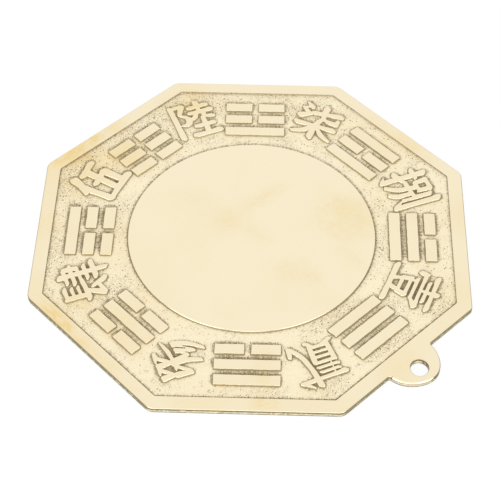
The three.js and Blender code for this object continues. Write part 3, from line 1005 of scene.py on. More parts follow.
@dataclass(frozen=True)
class Outline:
    """The flat outline of a node's foot, as the two ends of each of its short sides."""

    segments: np.ndarray

    @classmethod
    def of_node(cls, node: str) -> Outline:
        """Reads a node's outline: the edges that border its lowest flat faces on one side only.

        Args:
            node: The node's name.

        Returns:
            The outline.
        """
        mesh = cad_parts[node].data
        points = np.empty(len(mesh.vertices) * 3, np.float32)
        mesh.vertices.foreach_get("co", points)
        mesh.calc_loop_triangles()
        corners = np.empty(len(mesh.loop_triangles) * 3, np.int32)
        mesh.loop_triangles.foreach_get("vertices", corners)
        places, owners = np.unique(np.round(points.reshape(-1, 3), 7), axis=0, return_inverse=True)
        triangles = owners.reshape(-1)[corners].reshape(-1, 3)
        lowest = places[:, 2].min()
        foot = triangles[(places[triangles][:, :, 2] < lowest + 0.01 * MM).all(axis=1)]
        edges = np.concatenate([foot[:, [0, 1]], foot[:, [1, 2]], foot[:, [2, 0]]])
        _, first, count = np.unique(np.sort(edges, axis=1), axis=0, return_index=True, return_counts=True)
        border = edges[first[count == 1]]
        return cls(places[border][:, :, :2].astype(float))

    def turned(self, angle: float) -> Outline:
        """The same outline turned about the origin."""
        return Outline(self.segments @ turn_by(angle))

    def box(self) -> tuple[np.ndarray, np.ndarray]:
        """Its lowest and highest corner."""
        points = self.segments.reshape(-1, 2)
        return points.min(axis=0), points.max(axis=0)

    def distance(self, points: np.ndarray) -> np.ndarray:
        """The distance from each point to the nearest side.

        Args:
            points: Flat points, one row each.

        Returns:
            The distances.
        """
        starts = self.segments[:, 0]
        runs = self.segments[:, 1] - starts
        squares = np.maximum((runs**2).sum(axis=1), 1e-18)
        nearest = np.empty(len(points))
        for block in blocks(points, len(runs)):
            offset = points[block, None] - starts
            share = np.clip((offset * runs).sum(axis=2) / squares, 0, 1)
            gap = offset - share[..., None] * runs
            nearest[block] = np.sqrt((gap**2).sum(axis=2).min(axis=1))
        return nearest

    def inside(self, points: np.ndarray) -> np.ndarray:
        """Whether each point lies inside: a ray from it crosses an odd number of sides.

        Args:
            points: Flat points, one row each.

        Returns:
            True or False for each.
        """
        (x0, y0), (x1, y1) = self.segments[:, 0].T, self.segments[:, 1].T
        lean = (x1 - x0) / np.where(y1 == y0, 1.0, y1 - y0)
        hit = np.empty(len(points), bool)
        for block in blocks(points, len(x0)):
            x, y = points[block, :1], points[block, 1:]
            spans = (y0 > y) != (y1 > y)
            hit[block] = (spans & (x < x0 + (y - y0) * lean)).sum(axis=1) % 2 == 1
        return hit


@dataclass
class CoverMap:
    """Which part of the field lies under raised figures, as a fine square raster."""

    half_width: float
    outlines: list[Outline]
    spacing: float = 0.12 * MM

    def __post_init__(self) -> None:
        """Fills in the figures, 1 where they stand and 0 elsewhere."""
        count = round(2 * self.half_width / self.spacing)
        self.mask = np.zeros((count, count))
        for outline in self.outlines:
            low, high = outline.box()
            first = np.floor((low + self.half_width) / self.spacing).astype(int)
            last = np.ceil((high + self.half_width) / self.spacing).astype(int)
            cells = np.stack(np.mgrid[first[0] : last[0], first[1] : last[1]], axis=2)
            points = (cells.reshape(-1, 2) * self.spacing) - self.half_width
            window = self.mask[first[0] : last[0], first[1] : last[1]]
            window += outline.inside(points).reshape(window.shape)
        self.rasters: dict[float, np.ndarray] = {}

    def blurred(self, reach: float) -> np.ndarray:
        """The raster blurred by a bell curve, which is worked out once for each reach.

        Args:
            reach: The bell curve's reach.

        Returns:
            The blurred raster.
        """
        if reach not in self.rasters:
            waves = np.fft.fftfreq(len(self.mask), self.spacing)
            bell = np.exp(-2 * (math.pi * reach * waves) ** 2)
            self.rasters[reach] = np.fft.ifft2(np.fft.fft2(self.mask) * bell[:, None] * bell).real
        return self.rasters[reach]

    def share(self, points: np.ndarray, reach: float) -> np.ndarray:
        """The figures' share of the ground about each point, weighed by a bell curve.

        Args:
            points: Flat points, one row each.
            reach: The bell curve's reach.

        Returns:
            A share from 0 to 1 for each point.
        """
        raster = self.blurred(reach)
        spot = (points + self.half_width) / self.spacing
        corner = np.clip(np.floor(spot).astype(int), 0, len(raster) - 2)
        return between(raster, corner, corner + 1, spot - corner)


@dataclass(frozen=True)
class Profile:
    """How a raised figure's wall rises: heights over the field against the gap to its outline.

    A gap is positive outside the outline. The foot runs out below the field's floor, so that
    no pit of the floor opens a slit under it.
    """

    gaps: tuple[float, ...]
    heights: tuple[float, ...]

    def height(self, gap: np.ndarray) -> np.ndarray:
        """The height at each gap."""
        return np.interp(-gap, [-g for g in self.gaps], self.heights)

    def rings(self) -> list[tuple[float, float]]:
        """Each loop's gap and height, from a flat bottom under the foot up to the top."""
        return list(zip((self.gaps[0], *self.gaps), (-FOOT_DEPTH, *self.heights)))


LINE_PROFILE = Profile(
    gaps=mm(0.34, 0.24, 0.16, 0.1, 0.07, 0.04, 0.0, -0.03, -0.07, -0.15),
    heights=mm(-0.07, -0.02, 0.0, 0.03, 0.09, 0.21, 0.38, 0.425, 0.445, 0.45),
)
NUMERAL_PROFILE = Profile(
    gaps=mm(0.3, 0.2, 0.1, 0.04, 0.005, -0.03, -0.06, -0.11, -0.2, -0.38),
    heights=mm(-0.07, -0.02, 0.0, 0.03, 0.12, 0.26, 0.38, 0.42, 0.438, 0.446),
)
DISC_PROFILE = Profile(
    gaps=mm(0.3, 0.18, 0.1, 0.04, -0.02, -0.08, -0.16, -0.3),
    heights=mm(-0.07, -0.01, 0.03, 0.1, 0.25, 0.37, 0.43, 0.45),
)
DISC_INSET = 0.2 * MM
DISC_CENTRE = mm(0.05, 0.2)
FOOT_DEPTH = 0.16 * MM
SHELTER_REACH = 1.1 * MM

# Where the field's pits gather: x, y and spread in millimetres
PIT_CLUSTERS = np.array(
    [[0, 37, 8], [-17, 33, 6], [50, -24, 5], [-46, -26, 7], [-20, -50, 7], [30, 22, 5], [-44, 26, 5]]
)

# How many places are tried for a pit, and how large the pits are
PIT_TRIES = 9000
PIT_SCALE = 1.3


# The object's pieces


@dataclass
class Plate:
    """The cast plate: octagonal rim, sunk field, hanging tab with its hole, and flat back.

    The corner radii, and how far each side of the plate and of its field lies further in than a
    regular octagon's, are listed anticlockwise from the corner and the side at the tab. The tab's
    radius and swell and the hole's shift are measured from the middle of the plate's edge there.
    The rim's pale brass runs down the wall by tab_highlight and wall_highlight where the wall has
    its painted sheen, as a painted highlight on the round edge, and gives way to the wall's finish
    over finish_fade.
    """

    rim_width: float = 4.0 * MM
    field_depth: float = 0.45 * MM
    corner_radii: tuple[float, ...] = mm(1.6, 3.2, 3.5, 3.5, 3.5, 3.5, 3.5, 3.5)
    side_insets: tuple[float, ...] = mm(-0.2, 0.0, 0.18, 0.12, 0.3, 0.28, 0.25, 0.05)
    field_insets: tuple[float, ...] = mm(0.0, 0.12, 0.0, 0.0, 0.35, 0.2, 0.0, 0.0)
    field_sharpness: float = 14 / MM
    edge_round: float = 0.3 * MM
    tab_round: float = 0.4 * MM
    back_round: float = 0.25 * MM
    field_edge_round: float = 0.1 * MM
    field_foot: float = 0.14 * MM
    tab_radius: float = 7.7 * MM
    tab_swell: float = 0.75 * MM
    tab_swell_turn: float = math.radians(102)
    tab_swell_width: float = math.radians(32)
    tab_fillet: float = 0.6 * MM
    hole_radius: float = 2.6 * MM
    hole_shift: tuple[float, float] = mm(0.1, 3.65)
    hole_squeeze: float = 0.08
    hole_round: float = 0.25 * MM
    finish_fade: float = 0.08 * MM
    tab_highlight: float = 0.6 * MM
    wall_highlight: float = 0.12 * MM
    wall_rubbed: float = 0.85
    columns_per_side: int = 136
    rows: int = 78
    edge_steps: int = 5
    corner_steps: int = 14
    fillet_steps: int = 6
    tab_steps: int = 64
    hole_steps: int = 80
    longest_run: float = 1.5 * MM
    sand_size: float = 0.6 * MM
    sand_depth: float = 0.035 * MM
    swell_size: float = 5 * MM
    swell_depth: float = 0.03 * MM
    pit_depth: float = 0.09 * MM
    patina_lean: tuple[float, float] = mm(-0.28, -0.22)
    patina_outward: float = 0.27 * MM
    seed: int = 11

    def __post_init__(self) -> None:
        """Takes the outer sizes from the frame."""
        _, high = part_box("plate")
        self.apothem = high.x
        self.thickness = high.z
        self.floor_height = self.thickness - self.field_depth
        self.field_apothem = self.apothem - self.rim_width
        _, disc_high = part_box("mirror_disc")
        self.disc_radius = disc_high.x

    def field_runs(self) -> tuple[np.ndarray, np.ndarray]:
        """The directions of the field's sides, and how far each lies from the centre."""
        return math.pi / 2 + np.arange(SIDES) * SECTOR, self.field_apothem - np.array(self.field_insets)

    def column_angles(self) -> np.ndarray:
        """The directions of the field's columns, evenly spaced along each side.

        Returns:
            The angles, anticlockwise from the start of the side at +X.
        """
        shares = np.arange(self.columns_per_side) / self.columns_per_side * 2 - 1
        local = np.arctan(shares * math.tan(HALF_SECTOR))
        return (np.arange(SIDES)[:, None] * SECTOR + local).reshape(-1)

    def field_reach(self, angles: np.ndarray, offset: float) -> np.ndarray:
        """How far the field, moved outwards by an offset, reaches in each direction.

        Along a side that is the side's run over the cosine of the angle from its normal. The
        least of them counts, as a soft minimum that rounds the corners a little.

        Args:
            angles: The directions.
            offset: How far every side is moved outwards.

        Returns:
            The reach in each direction.
        """
        turns, runs = self.field_runs()
        cosines = np.maximum(np.cos(angles[:, None] - turns), 0.1)
        reaches = (runs + offset) / cosines
        least = reaches.min(axis=1, keepdims=True)
        weights = np.exp(-self.field_sharpness * (reaches - least)).sum(axis=1)
        return least[:, 0] - np.log(weights) / self.field_sharpness

    def field_loop(self, angles: np.ndarray, offset: float) -> np.ndarray:
        """The field's outline, moved outwards by an offset."""
        reach = self.field_reach(angles, offset)
        return np.column_stack([reach * np.cos(angles), reach * np.sin(angles)])

    def tab_end(self, inset: float, meeting: float) -> np.ndarray:
        """The tab's round end, walked anticlockwise: an arc about the middle of the plate's edge.

        Its radius swells away from the plate, by a bell curve of the direction.

        Args:
            inset: How far the outline is drawn in.
            meeting: The angle from the plate's edge at which the arc starts and ends.

        Returns:
            The points.
        """
        turns = np.linspace(meeting, math.pi - meeting, self.tab_steps + 1)
        bell = np.exp(-(((turns - self.tab_swell_turn) / self.tab_swell_width) ** 2))
        reach = self.tab_radius - inset + self.tab_swell * bell
        return np.column_stack([reach * np.cos(turns), self.apothem + reach * np.sin(turns)])

    def outer_loop(self, inset: float) -> np.ndarray:
        """The plate's outline with the hanging tab, walked anticlockwise.

        Every corner is an arc about a fixed centre: a round corner's radius shrinks with the inset,
        and the radius of the hollow between the tab and the plate's edge grows with it. A round
        corner's centre lies one radius inside both of its sides.

        Args:
            inset: How far the outline is drawn in.

        Returns:
            The points.
        """
        runs = self.apothem - np.array(self.side_insets)
        fillet_y = runs[0] + self.tab_fillet
        fillet_rise = fillet_y - self.apothem
        fillet_x = math.sqrt((self.tab_radius + self.tab_fillet) ** 2 - fillet_rise**2)
        meeting = math.atan2(fillet_rise, fillet_x)
        hollow = self.tab_fillet + inset
        arcs = [
            arc((fillet_x, fillet_y), hollow, -math.pi / 2, -math.pi + meeting, self.fillet_steps),
            self.tab_end(inset, meeting),
            arc((-fillet_x, fillet_y), hollow, -meeting, -math.pi / 2, self.fillet_steps),
        ]
        for corner, radius in enumerate(self.corner_radii):
            start = math.pi / 2 + corner * SECTOR
            turns = np.array([start, start + SECTOR])
            normals = np.column_stack([np.cos(turns), np.sin(turns)])
            centre = np.linalg.solve(normals, [runs[corner] - radius, runs[(corner + 1) % SIDES] - radius])
            arcs.append(arc(centre, radius - inset, start, start + SECTOR, self.corner_steps))
        return np.concatenate(arcs)

    def outer_parts(self, outline: np.ndarray) -> np.ndarray:
        """How many parts each side of the outline is split into, so that none is long."""
        runs = np.linalg.norm(np.roll(outline, -1, axis=0) - outline, axis=1)
        return np.maximum(np.round(runs / self.longest_run).astype(int), 1)

    def pits(self, points: np.ndarray) -> np.ndarray:
        """How deep each point lies in one of the scattered pits.

        The pits are thicker between the disc and the tab's side and at some corners. Each is a bowl:
        one less the square of the distance to its middle over its radius.

        Args:
            points: Flat points in the field.

        Returns:
            A depth from 0 to 1 for each point.
        """
        rng = np.random.default_rng(self.seed)
        tries = rng.uniform(-self.field_apothem, self.field_apothem, (PIT_TRIES, 2))
        clusters, spread = PIT_CLUSTERS[:, :2] * MM, PIT_CLUSTERS[:, 2] * MM
        nearness = np.linalg.norm(tries[:, None] - clusters, axis=2) / spread
        weight = 0.1 + 0.75 * np.exp(-(nearness**2)).max(axis=1)
        middles = tries[rng.random(len(tries)) < weight]
        radii = rng.uniform(0.2, 0.5, len(middles)) ** 1.5 * MM * PIT_SCALE
        depths = rng.uniform(0.4, 1.0, len(middles))
        deepest = np.zeros(len(points))
        for middle, radius, depth in zip(middles, radii, depths):
            gap = ((points - middle) ** 2).sum(axis=1) / radius**2
            near = gap < 1
            deepest[near] = np.maximum(deepest[near], depth * (1 - gap[near]))
        return deepest

    def nearness(self, points: np.ndarray, cover: CoverMap) -> dict[str, np.ndarray]:
        """How near the raised figures and the walls are, as three numbers for each point.

        The patina lies a little to one side of every outline, so the numbers are read there.

        Args:
            points: Flat points in the field.
            cover: Where the figures stand.

        Returns:
            edge is a thin line along every outline, fringe reaches a little further, and shelter is
            high where figures stand on several sides. Each is the figures' share of the ground about
            the point, weighed by a bell curve, plus a falling power of the gap to the walls.
        """
        radial = points / np.linalg.norm(points, axis=1, keepdims=True)
        points = points - np.array(self.patina_lean)
        turns, runs = self.field_runs()
        wall = np.maximum((runs - points @ np.array([np.cos(turns), np.sin(turns)])).min(axis=1), 0)
        points = points - radial * self.patina_outward
        disc = np.linalg.norm(points - np.array(DISC_CENTRE), axis=1) - self.disc_radius + DISC_INSET
        numbers = {}
        for name, reach, wall_reach, wall_share in (
            ("edge", 0.4 * MM, 0.15 * MM, 0.5),
            ("fringe", 0.65 * MM, 0.4 * MM, 0.5),
            ("shelter", SHELTER_REACH, 0.25 * MM, 0.4),
        ):
            walls = np.exp(-wall / wall_reach) + 0.8 * np.exp(-np.maximum(disc, 0) / wall_reach)
            numbers[name] = cover.share(points, reach) + wall_share * walls
        return numbers

    def floor_rings(self, angles: np.ndarray) -> np.ndarray:
        """The field's grid: rings that change from a circle under the disc's edge to the octagon.

        A ring's share of the way is 0.4 of its step plus 0.3 of one less the cosine of the step's
        part of a half turn, so that the rings lie closer at both ends.

        Args:
            angles: The directions of the columns.

        Returns:
            The flat points, by ring and column.
        """
        steps = np.linspace(0, 1, self.rows)
        shares = 0.4 * steps + 0.3 * (1 - np.cos(math.pi * steps))
        inner = self.disc_radius - 0.8 * MM
        outer = self.field_reach(angles, -self.field_foot)
        reach = inner + (outer - inner) * shares[:, None]
        return np.stack([reach * np.cos(angles), reach * np.sin(angles)], axis=2)

    def build(self, cover: CoverMap) -> bpy.types.Object:
        """Makes the plate.

        Args:
            cover: Where the figures stand in the field.

        Returns:
            The plate's object.
        """
        marks = ("field", "side", "rubbed", "seam", "edge", "fringe", "shelter", "pit")
        form = Form(marks={name: [] for name in marks})
        rim_loop = self.add_field(form, cover)
        top_loop, bottom_loop = self.add_edge(form)
        hole_top, hole_bottom = self.add_hole(form)
        form.cap([top_loop, rim_loop, hole_top], 1)
        form.cap([bottom_loop, hole_bottom], -1)
        finish = PlateFinish(self.field_apothem, self.disc_radius, self.patina_lean)
        piece = form.to_object("cast_plate", finish.build("plate_brass"), Slot.PLATE)
        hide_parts("plate")
        return piece

    def add_floor(self, form: Form, cover: CoverMap, angles: np.ndarray) -> list[np.ndarray]:
        """Adds the points of the field's floor: a sandy cast surface with pits and a slow swell.

        Args:
            form: The plate in the making.
            cover: Where the figures stand in the field.
            angles: The directions of the columns.

        Returns:
            The indices of each ring, from the disc outwards.
        """
        floor = self.floor_rings(angles).reshape(-1, 2)
        pit = self.pits(floor)
        sand = soft_noise(floor, self.sand_size, self.seed) * self.sand_depth
        swell = soft_noise(floor, self.swell_size, self.seed + 1) * self.swell_depth
        drop = sand + swell + pit * self.pit_depth
        drop[-len(angles) :] = 0
        height = self.floor_height - drop
        indices = form.add_points(lifted(floor, height), field=1.0, pit=pit, **self.nearness(floor, cover))
        return list(indices.reshape(self.rows, len(angles)))

    def add_field(self, form: Form, cover: CoverMap) -> np.ndarray:
        """Adds the sunk field and its wall, which has a hollow foot and a round upper edge.

        Args:
            form: The plate in the making.
            cover: Where the figures stand in the field.

        Returns:
            The loop where the wall meets the rim.
        """
        angles = self.column_angles()
        loops = self.add_floor(form, cover, angles)
        for turn in np.linspace(0, math.pi / 2, 4)[1:]:
            offset = -self.field_foot * (1 - 0.8 * math.sin(turn))
            rise = 0.4 * self.field_foot * (1 - math.cos(turn))
            ring = lifted(self.field_loop(angles, offset), self.floor_height + rise)
            loops.append(form.add_points(ring, field=1.0, seam=0.75, edge=0.25, fringe=0.05, shelter=0.35))
        for step in range(self.edge_steps):
            turn = step / (self.edge_steps - 1) * math.pi / 2
            offset = self.field_edge_round * (1 - math.cos(turn))
            rise = self.field_edge_round * (1 - math.sin(turn))
            ring = lifted(self.field_loop(angles, offset), self.thickness - rise)
            paler = min(max(0.4 * (step - 1), 0), 1)
            loops.append(form.add_points(ring, field=1.0 - paler, seam=1.0, edge=0.25, shelter=0.4))
        form.stack(loops, hollow=True)
        middle = form.add_points(np.array([[0, 0, self.floor_height]]))
        fan = np.stack([np.full(len(angles), middle[0]), loops[0], np.roll(loops[0], -1)], axis=1)
        form.add_faces(fan)
        return loops[-1]

    def wall_levels(self, top_round: Spread) -> list[tuple[Spread, Spread]]:
        """Where the loops of a wall with rounded edges lie, from the back to the top.

        Args:
            top_round: The radius of the round upper edge, one for all or one for each point.

        Returns:
            The inset and the height of each loop.
        """
        back, rest = self.back_round, self.thickness - top_round - self.back_round
        turns = np.linspace(0, math.pi / 2, self.edge_steps + 1)
        levels = [(back * (1 - math.sin(turn)), back * (1 - math.cos(turn))) for turn in turns]
        levels += [(0.0, back + share * rest) for share in (0.2, 0.4, 0.6, 0.8)]
        for turn in turns:
            height = self.thickness - top_round * (1 - math.sin(turn))
            levels.append((top_round * (1 - math.cos(turn)), height))
        return levels

    def rubbed_shares(self, outline: np.ndarray) -> tuple[np.ndarray, np.ndarray]:
        """How far a painted sheen lightens each point of the tab's wall and of the plate's, from 0 to 1.

        The tab has it where it faces +X, and the plate's wall where it faces between +X and +Y.

        Args:
            outline: The outline's points.

        Returns:
            The share for the tab's wall, and the share for the plate's.
        """
        run = np.roll(outline, -1, axis=0) - np.roll(outline, 1, axis=0)
        facing = np.column_stack([run[:, 1], -run[:, 0]]) / np.linalg.norm(run, axis=1, keepdims=True)
        on_tab = outline[:, 1] > self.apothem + self.tab_fillet
        tab = np.clip((facing[:, 0] - 0.05) / 0.25, 0, 1)
        side = np.clip((facing.sum(axis=1) / math.sqrt(2) - 0.8) / 0.15, 0, 1)
        return tab * on_tab, side * ~on_tab

    def add_edge(self, form: Form) -> tuple[np.ndarray, np.ndarray]:
        """Adds the outer wall with its rounded edges.

        Args:
            form: The plate in the making.

        Returns:
            Its top and bottom loops.
        """
        parts = self.outer_parts(self.outer_loop(0))
        outline = split(self.outer_loop(0), parts)
        inwards = (split(self.outer_loop(MM), parts) - outline) / MM
        # Painted sheen: the wall is drawn paler where it faces +X to +X+Y.
        tab, plate = self.rubbed_shares(outline)
        rubbed = tab + self.wall_rubbed * plate
        # Painted highlight: where the painted sheen lies, the rim's pale brass runs further down the round
        # top edge.
        bright = self.tab_highlight * tab + self.wall_highlight * plate
        loops = []
        for inset, height in self.wall_levels(self.edge_round + self.tab_round * tab):
            ring = lifted(outline + inwards * np.reshape(inset, (-1, 1)), height)
            side = np.clip((self.thickness - height - bright) / self.finish_fade, 0, 1) * (height > 0)
            loops.append(form.add_points(ring, side=side, rubbed=rubbed))
        form.stack(loops)
        return loops[-1], loops[0]

    def add_hole(self, form: Form) -> tuple[np.ndarray, np.ndarray]:
        """Adds the hanging hole's wall with its rounded edges.

        The hole is a little narrower from -X+Y to +X-Y, and its -X-Y side, whose wall faces +X+Y, has a
        painted sheen.

        Args:
            form: The plate in the making.

        Returns:
            Its top and bottom loops.
        """
        centre = np.array([0, self.apothem]) + self.hole_shift
        across, along = np.array([[-1, 1], [1, 1]]) / math.sqrt(2)
        loops = []
        for widening, height in self.wall_levels(self.hole_round):
            ring = arc(centre, self.hole_radius + widening, 0, 2 * math.pi, self.hole_steps)[:-1]
            ring -= self.hole_squeeze * np.outer((ring - centre) @ across, across)
            # Painted sheen on the hole's -X-Y side, whose wall faces +X+Y.
            rubbed = np.clip(((centre - ring) @ along / self.hole_radius - 0.85) / 0.15, 0, 1)
            side = min((self.thickness - height) / self.finish_fade, 1.0) * (height > 0)
            loops.append(form.add_points(lifted(ring, height), side=side, rubbed=rubbed))
        form.stack(loops, hollow=True)
        return loops[-1], loops[0]


@dataclass
class MirrorDisc:
    """The round polished mirror that stands in the middle of the field."""

    floor_height: float
    segments: int = 288

    def build(self) -> bpy.types.Object:
        """Makes the disc: its profile turned about the Z axis.

        Returns:
            The disc's object.
        """
        _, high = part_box("mirror_disc")
        radius = high.x - DISC_INSET
        form = Form()
        loops = []
        for gap, height in DISC_PROFILE.rings():
            ring = arc(DISC_CENTRE, radius + gap, 0, 2 * math.pi, self.segments)[:-1]
            loops.append(form.add_points(lifted(ring, self.floor_height + height)))
        form.enclose(loops)
        finish = MirrorFinish(self.floor_height, high.z)
        piece = form.to_object("polished_mirror", finish.build("mirror_brass"), Slot.MIRROR)
        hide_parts("mirror_disc")
        return piece


@dataclass
class TrigramLine:
    """One raised bar of a trigram: a rounded rectangle with slightly uneven cast edges."""

    node: str
    angle: float
    floor_height: float
    seed: int
    shift: tuple[float, float]
    corner_radius: float = 0.22 * MM
    corner_steps: int = 6
    point_spacing: float = 0.4 * MM
    unevenness: float = 0.05 * MM

    def outline(self) -> tuple[np.ndarray, np.ndarray]:
        """The bar's outline in the trigram's own axes, drawn in by its corner radius.

        Returns:
            The outline's points, and the direction that each is moved outwards in.
        """
        low, high = Outline.of_node(self.node).turned(-self.angle).box()
        inner_low = low + self.shift + self.corner_radius
        inner_high = high + self.shift - self.corner_radius
        corners = [
            (inner_high[0], inner_low[1], -math.pi / 2),
            (inner_high[0], inner_high[1], 0.0),
            (inner_low[0], inner_high[1], math.pi / 2),
            (inner_low[0], inner_low[1], math.pi),
        ]
        points, normals = [], []
        for index, (x, y, start) in enumerate(corners):
            turns = np.linspace(start, start + math.pi / 2, self.corner_steps + 1)
            points.append(np.tile((x, y), (len(turns), 1)))
            normals.append(np.column_stack([np.cos(turns), np.sin(turns)]))
            x_next, y_next, _ = corners[(index + 1) % 4]
            count = max(int(math.hypot(x_next - x, y_next - y) / self.point_spacing), 2)
            shares = np.arange(1, count)[:, None] / count
            points.append(np.array((x, y)) + shares * (x_next - x, y_next - y))
            normals.append(np.tile(normals[-1][-1], (count - 1, 1)))
        return np.concatenate(points), np.concatenate(normals)

    def build(self, material: bpy.types.Material, cover: CoverMap) -> bpy.types.Object:
        """Makes the bar: its outline carried along the profile.

        Args:
            material: The bars' common material.
            cover: Where the figures stand in the field.

        Returns:
            The bar's object.
        """
        centres, normals = self.outline()
        edge = centres + normals * self.corner_radius
        wobble = (soft_noise(edge + self.seed * MM, 1.3 * MM, self.seed) - 0.5) * 2 * self.unevenness
        turn = turn_by(self.angle)
        form = Form(marks={"shelter": []})
        loops = []
        for gap, height in LINE_PROFILE.rings():
            ring = (centres + normals * (self.corner_radius + gap + wobble)[:, None]) @ turn
            shelter = cover.share(ring, SHELTER_REACH)
            loops.append(form.add_points(lifted(ring, self.floor_height + height), shelter=shelter))
        form.enclose(loops)
        piece = form.to_object(f"cast_{self.node}", material, Slot.LINE)
        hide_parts(self.node)
        return piece


@dataclass
class Numeral:
    """One raised brush numeral: a height over a fine grid, worked out from the gap to its outline.

    The gap is the distance to the outline, less than 0 inside it. brush_half is half the brush's
    edge and drawn_in how far the swept outline is drawn in again. snapped lists the profile's gaps
    at the outline and at the shoulder.
    """

    node: str
    angle: float
    floor_height: float
    seed: int
    spacing: float = 0.1 * MM
    unevenness: float = 0.03 * MM
    unevenness_size: float = 1.1 * MM
    brush_angle: float = math.radians(-35)
    brush_half: float = 0.42 * MM
    brush_steps: int = 15
    drawn_in: float = 0.13 * MM
    room_reach: float = 0.6 * MM
    room_share: float = 0.8
    snapped: tuple[float, ...] = (NUMERAL_PROFILE.gaps[3], NUMERAL_PROFILE.gaps[6])

    def slid(self, gap: np.ndarray, reach: float) -> np.ndarray:
        """The gap's grid slid along the brush's edge, blended between the four nearest grid points.

        Args:
            gap: The gap at each grid point.
            reach: How far it is slid.

        Returns:
            The slid grid.
        """
        steps = np.array([math.cos(self.brush_angle), math.sin(self.brush_angle)]) * reach / self.spacing
        whole = np.floor(steps).astype(int)
        x_share, y_share = steps - whole
        across = np.roll(gap, whole, (0, 1))
        across = across * (1 - x_share) + np.roll(across, 1, 0) * x_share
        return across * (1 - y_share) + np.roll(across, 1, 1) * y_share

    def room(self, gap: np.ndarray) -> np.ndarray:
        """The widest gap near each point, which is large where there is free space beside a stroke.

        Args:
            gap: The gap at each grid point.

        Returns:
            The room at each grid point.
        """
        cells = round(self.room_reach / self.spacing)
        for combine, reach in ((np.max, cells), (np.mean, cells - 2)):
            for axis in (0, 1):
                gap = combine([np.roll(gap, shift, axis) for shift in range(-reach, reach + 1)], axis=0)
        return gap

    def brushed(self, gap: np.ndarray) -> np.ndarray:
        """Gives the strokes the slanted ends and the thick and thin of a flat brush.

        The outline is swept along the brush's slanted edge, so the gap becomes the least gap along
        that edge, and is then drawn in all round. The edge is shorter where there is little room
        beside a stroke, so no counter closes.

        Args:
            gap: The gap at each grid point.

        Returns:
            The gap to the brushed outline.
        """
        allowed = np.clip(self.room_share * self.room(gap), 0, self.brush_half)
        swept = gap
        for reach in np.linspace(-self.brush_half, self.brush_half, self.brush_steps):
            excess = np.maximum(abs(reach) - allowed, 0)
            swept = np.minimum(swept, self.slid(gap, reach) + 1.6 * excess)
        return swept + self.drawn_in

    def soften(self, gap: np.ndarray) -> np.ndarray:
        """Rounds the outline's corners by averaging the gap with its neighbours' along each axis.

        Args:
            gap: The gap at each grid point.

        Returns:
            The softened gap.
        """
        for axis in (0, 1):
            before, after = np.roll(gap, 1, axis), np.roll(gap, -1, axis)
            gap = (before + 2 * gap + after) / 4
        return gap

    def outline_gap(self) -> tuple[np.ndarray, np.ndarray]:
        """Lays a grid over the numeral in its own axes and works out the brushed gap there.

        Returns:
            The grid's points, and the gap at each.
        """
        outline = Outline.of_node(self.node).turned(-self.angle)
        low, high = outline.box()
        margin = self.brush_half + 6 * self.spacing
        xs = np.arange(low[0] - margin, high[0] + margin, self.spacing)
        ys = np.arange(low[1] - margin, high[1] + margin, self.spacing)
        grid = np.stack(np.meshgrid(xs, ys, indexing="ij"), axis=2)
        points = grid.reshape(-1, 2)
        gap = outline.distance(points) * np.where(outline.inside(points), -1, 1)
        noise = soft_noise(points + self.seed * MM, self.unevenness_size, self.seed)
        wobble = (noise - 0.5) * 2 * self.unevenness
        gap = self.brushed(gap.reshape(grid.shape[:2])) + wobble.reshape(grid.shape[:2])
        return grid, self.soften(self.soften(gap))

    def build(self, material: bpy.types.Material, cover: CoverMap) -> bpy.types.Object:
        """Makes the numeral.

        Grid points near the foot's end, the outline or the shoulder are moved onto it along the
        gap's slope, so that these edges run smoothly and not in steps.

        Args:
            material: The numerals' common material.
            cover: Where the figures stand in the field.

        Returns:
            The numeral's object.
        """
        grid, gap = self.outline_gap()
        slope = np.stack(np.gradient(gap, self.spacing), axis=2)
        slope /= np.maximum((slope**2).sum(axis=2, keepdims=True), 0.25)
        target = gap.copy()
        for level in self.snapped:
            target = np.where(np.abs(gap - level) < 0.45 * self.spacing, level, target)
        foot = NUMERAL_PROFILE.gaps[0]
        target = np.minimum(target, foot)
        moved = grid + slope * (target - gap)[..., None]
        heights = self.floor_height + NUMERAL_PROFILE.height(target)
        cells = np.minimum.reduce([gap[:-1, :-1], gap[1:, :-1], gap[:-1, 1:], gap[1:, 1:]]) < foot
        form = self.shell(moved, heights, cells, cover)
        piece = form.to_object(f"cast_{self.node}", material, Slot.NUMERAL)
        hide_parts(self.node)
        return piece

    def shell(self, moved: np.ndarray, heights: np.ndarray, cells: np.ndarray, cover: CoverMap) -> Form:
        """Closes the kept cells of the grid into a solid with a flat bottom.

        Args:
            moved: The grid's points.
            heights: Their heights.
            cells: Which cells are kept.
            cover: Where the figures stand in the field.

        Returns:
            The closed form.
        """
        form = Form(marks={"shelter": []})
        rows, columns = cells.shape
        used = np.zeros(heights.shape, bool)
        for across, along in ((0, 0), (1, 0), (0, 1), (1, 1)):
            used[across : across + rows, along : along + columns] |= cells
        below = int(used.sum())
        ids = np.full(heights.shape, -1)
        ids[used] = np.arange(below)
        outline = moved[used] @ turn_by(self.angle)
        shelter = cover.share(outline, SHELTER_REACH)
        form.add_points(lifted(outline, heights[used]), shelter=shelter)
        form.add_points(lifted(outline, self.floor_height - FOOT_DEPTH), shelter=shelter)
        quads = np.stack([ids[:-1, :-1], ids[1:, :-1], ids[1:, 1:], ids[:-1, 1:]], axis=2)[cells]
        form.add_faces(quads)
        form.add_faces(quads[:, ::-1] + below)

        padded = np.pad(cells, 1)
        for start, (shift_x, shift_y) in enumerate(((0, -1), (1, 0), (0, 1), (-1, 0))):
            beside = padded[1 + shift_x : 1 + shift_x + rows, 1 + shift_y : 1 + shift_y + columns]
            sides = quads[~beside[cells]]
            first, second = sides[:, start], sides[:, (start + 1) % 4]
            form.add_faces(np.stack([first, first + below, second + below, second], axis=1))
        return form


# The studio


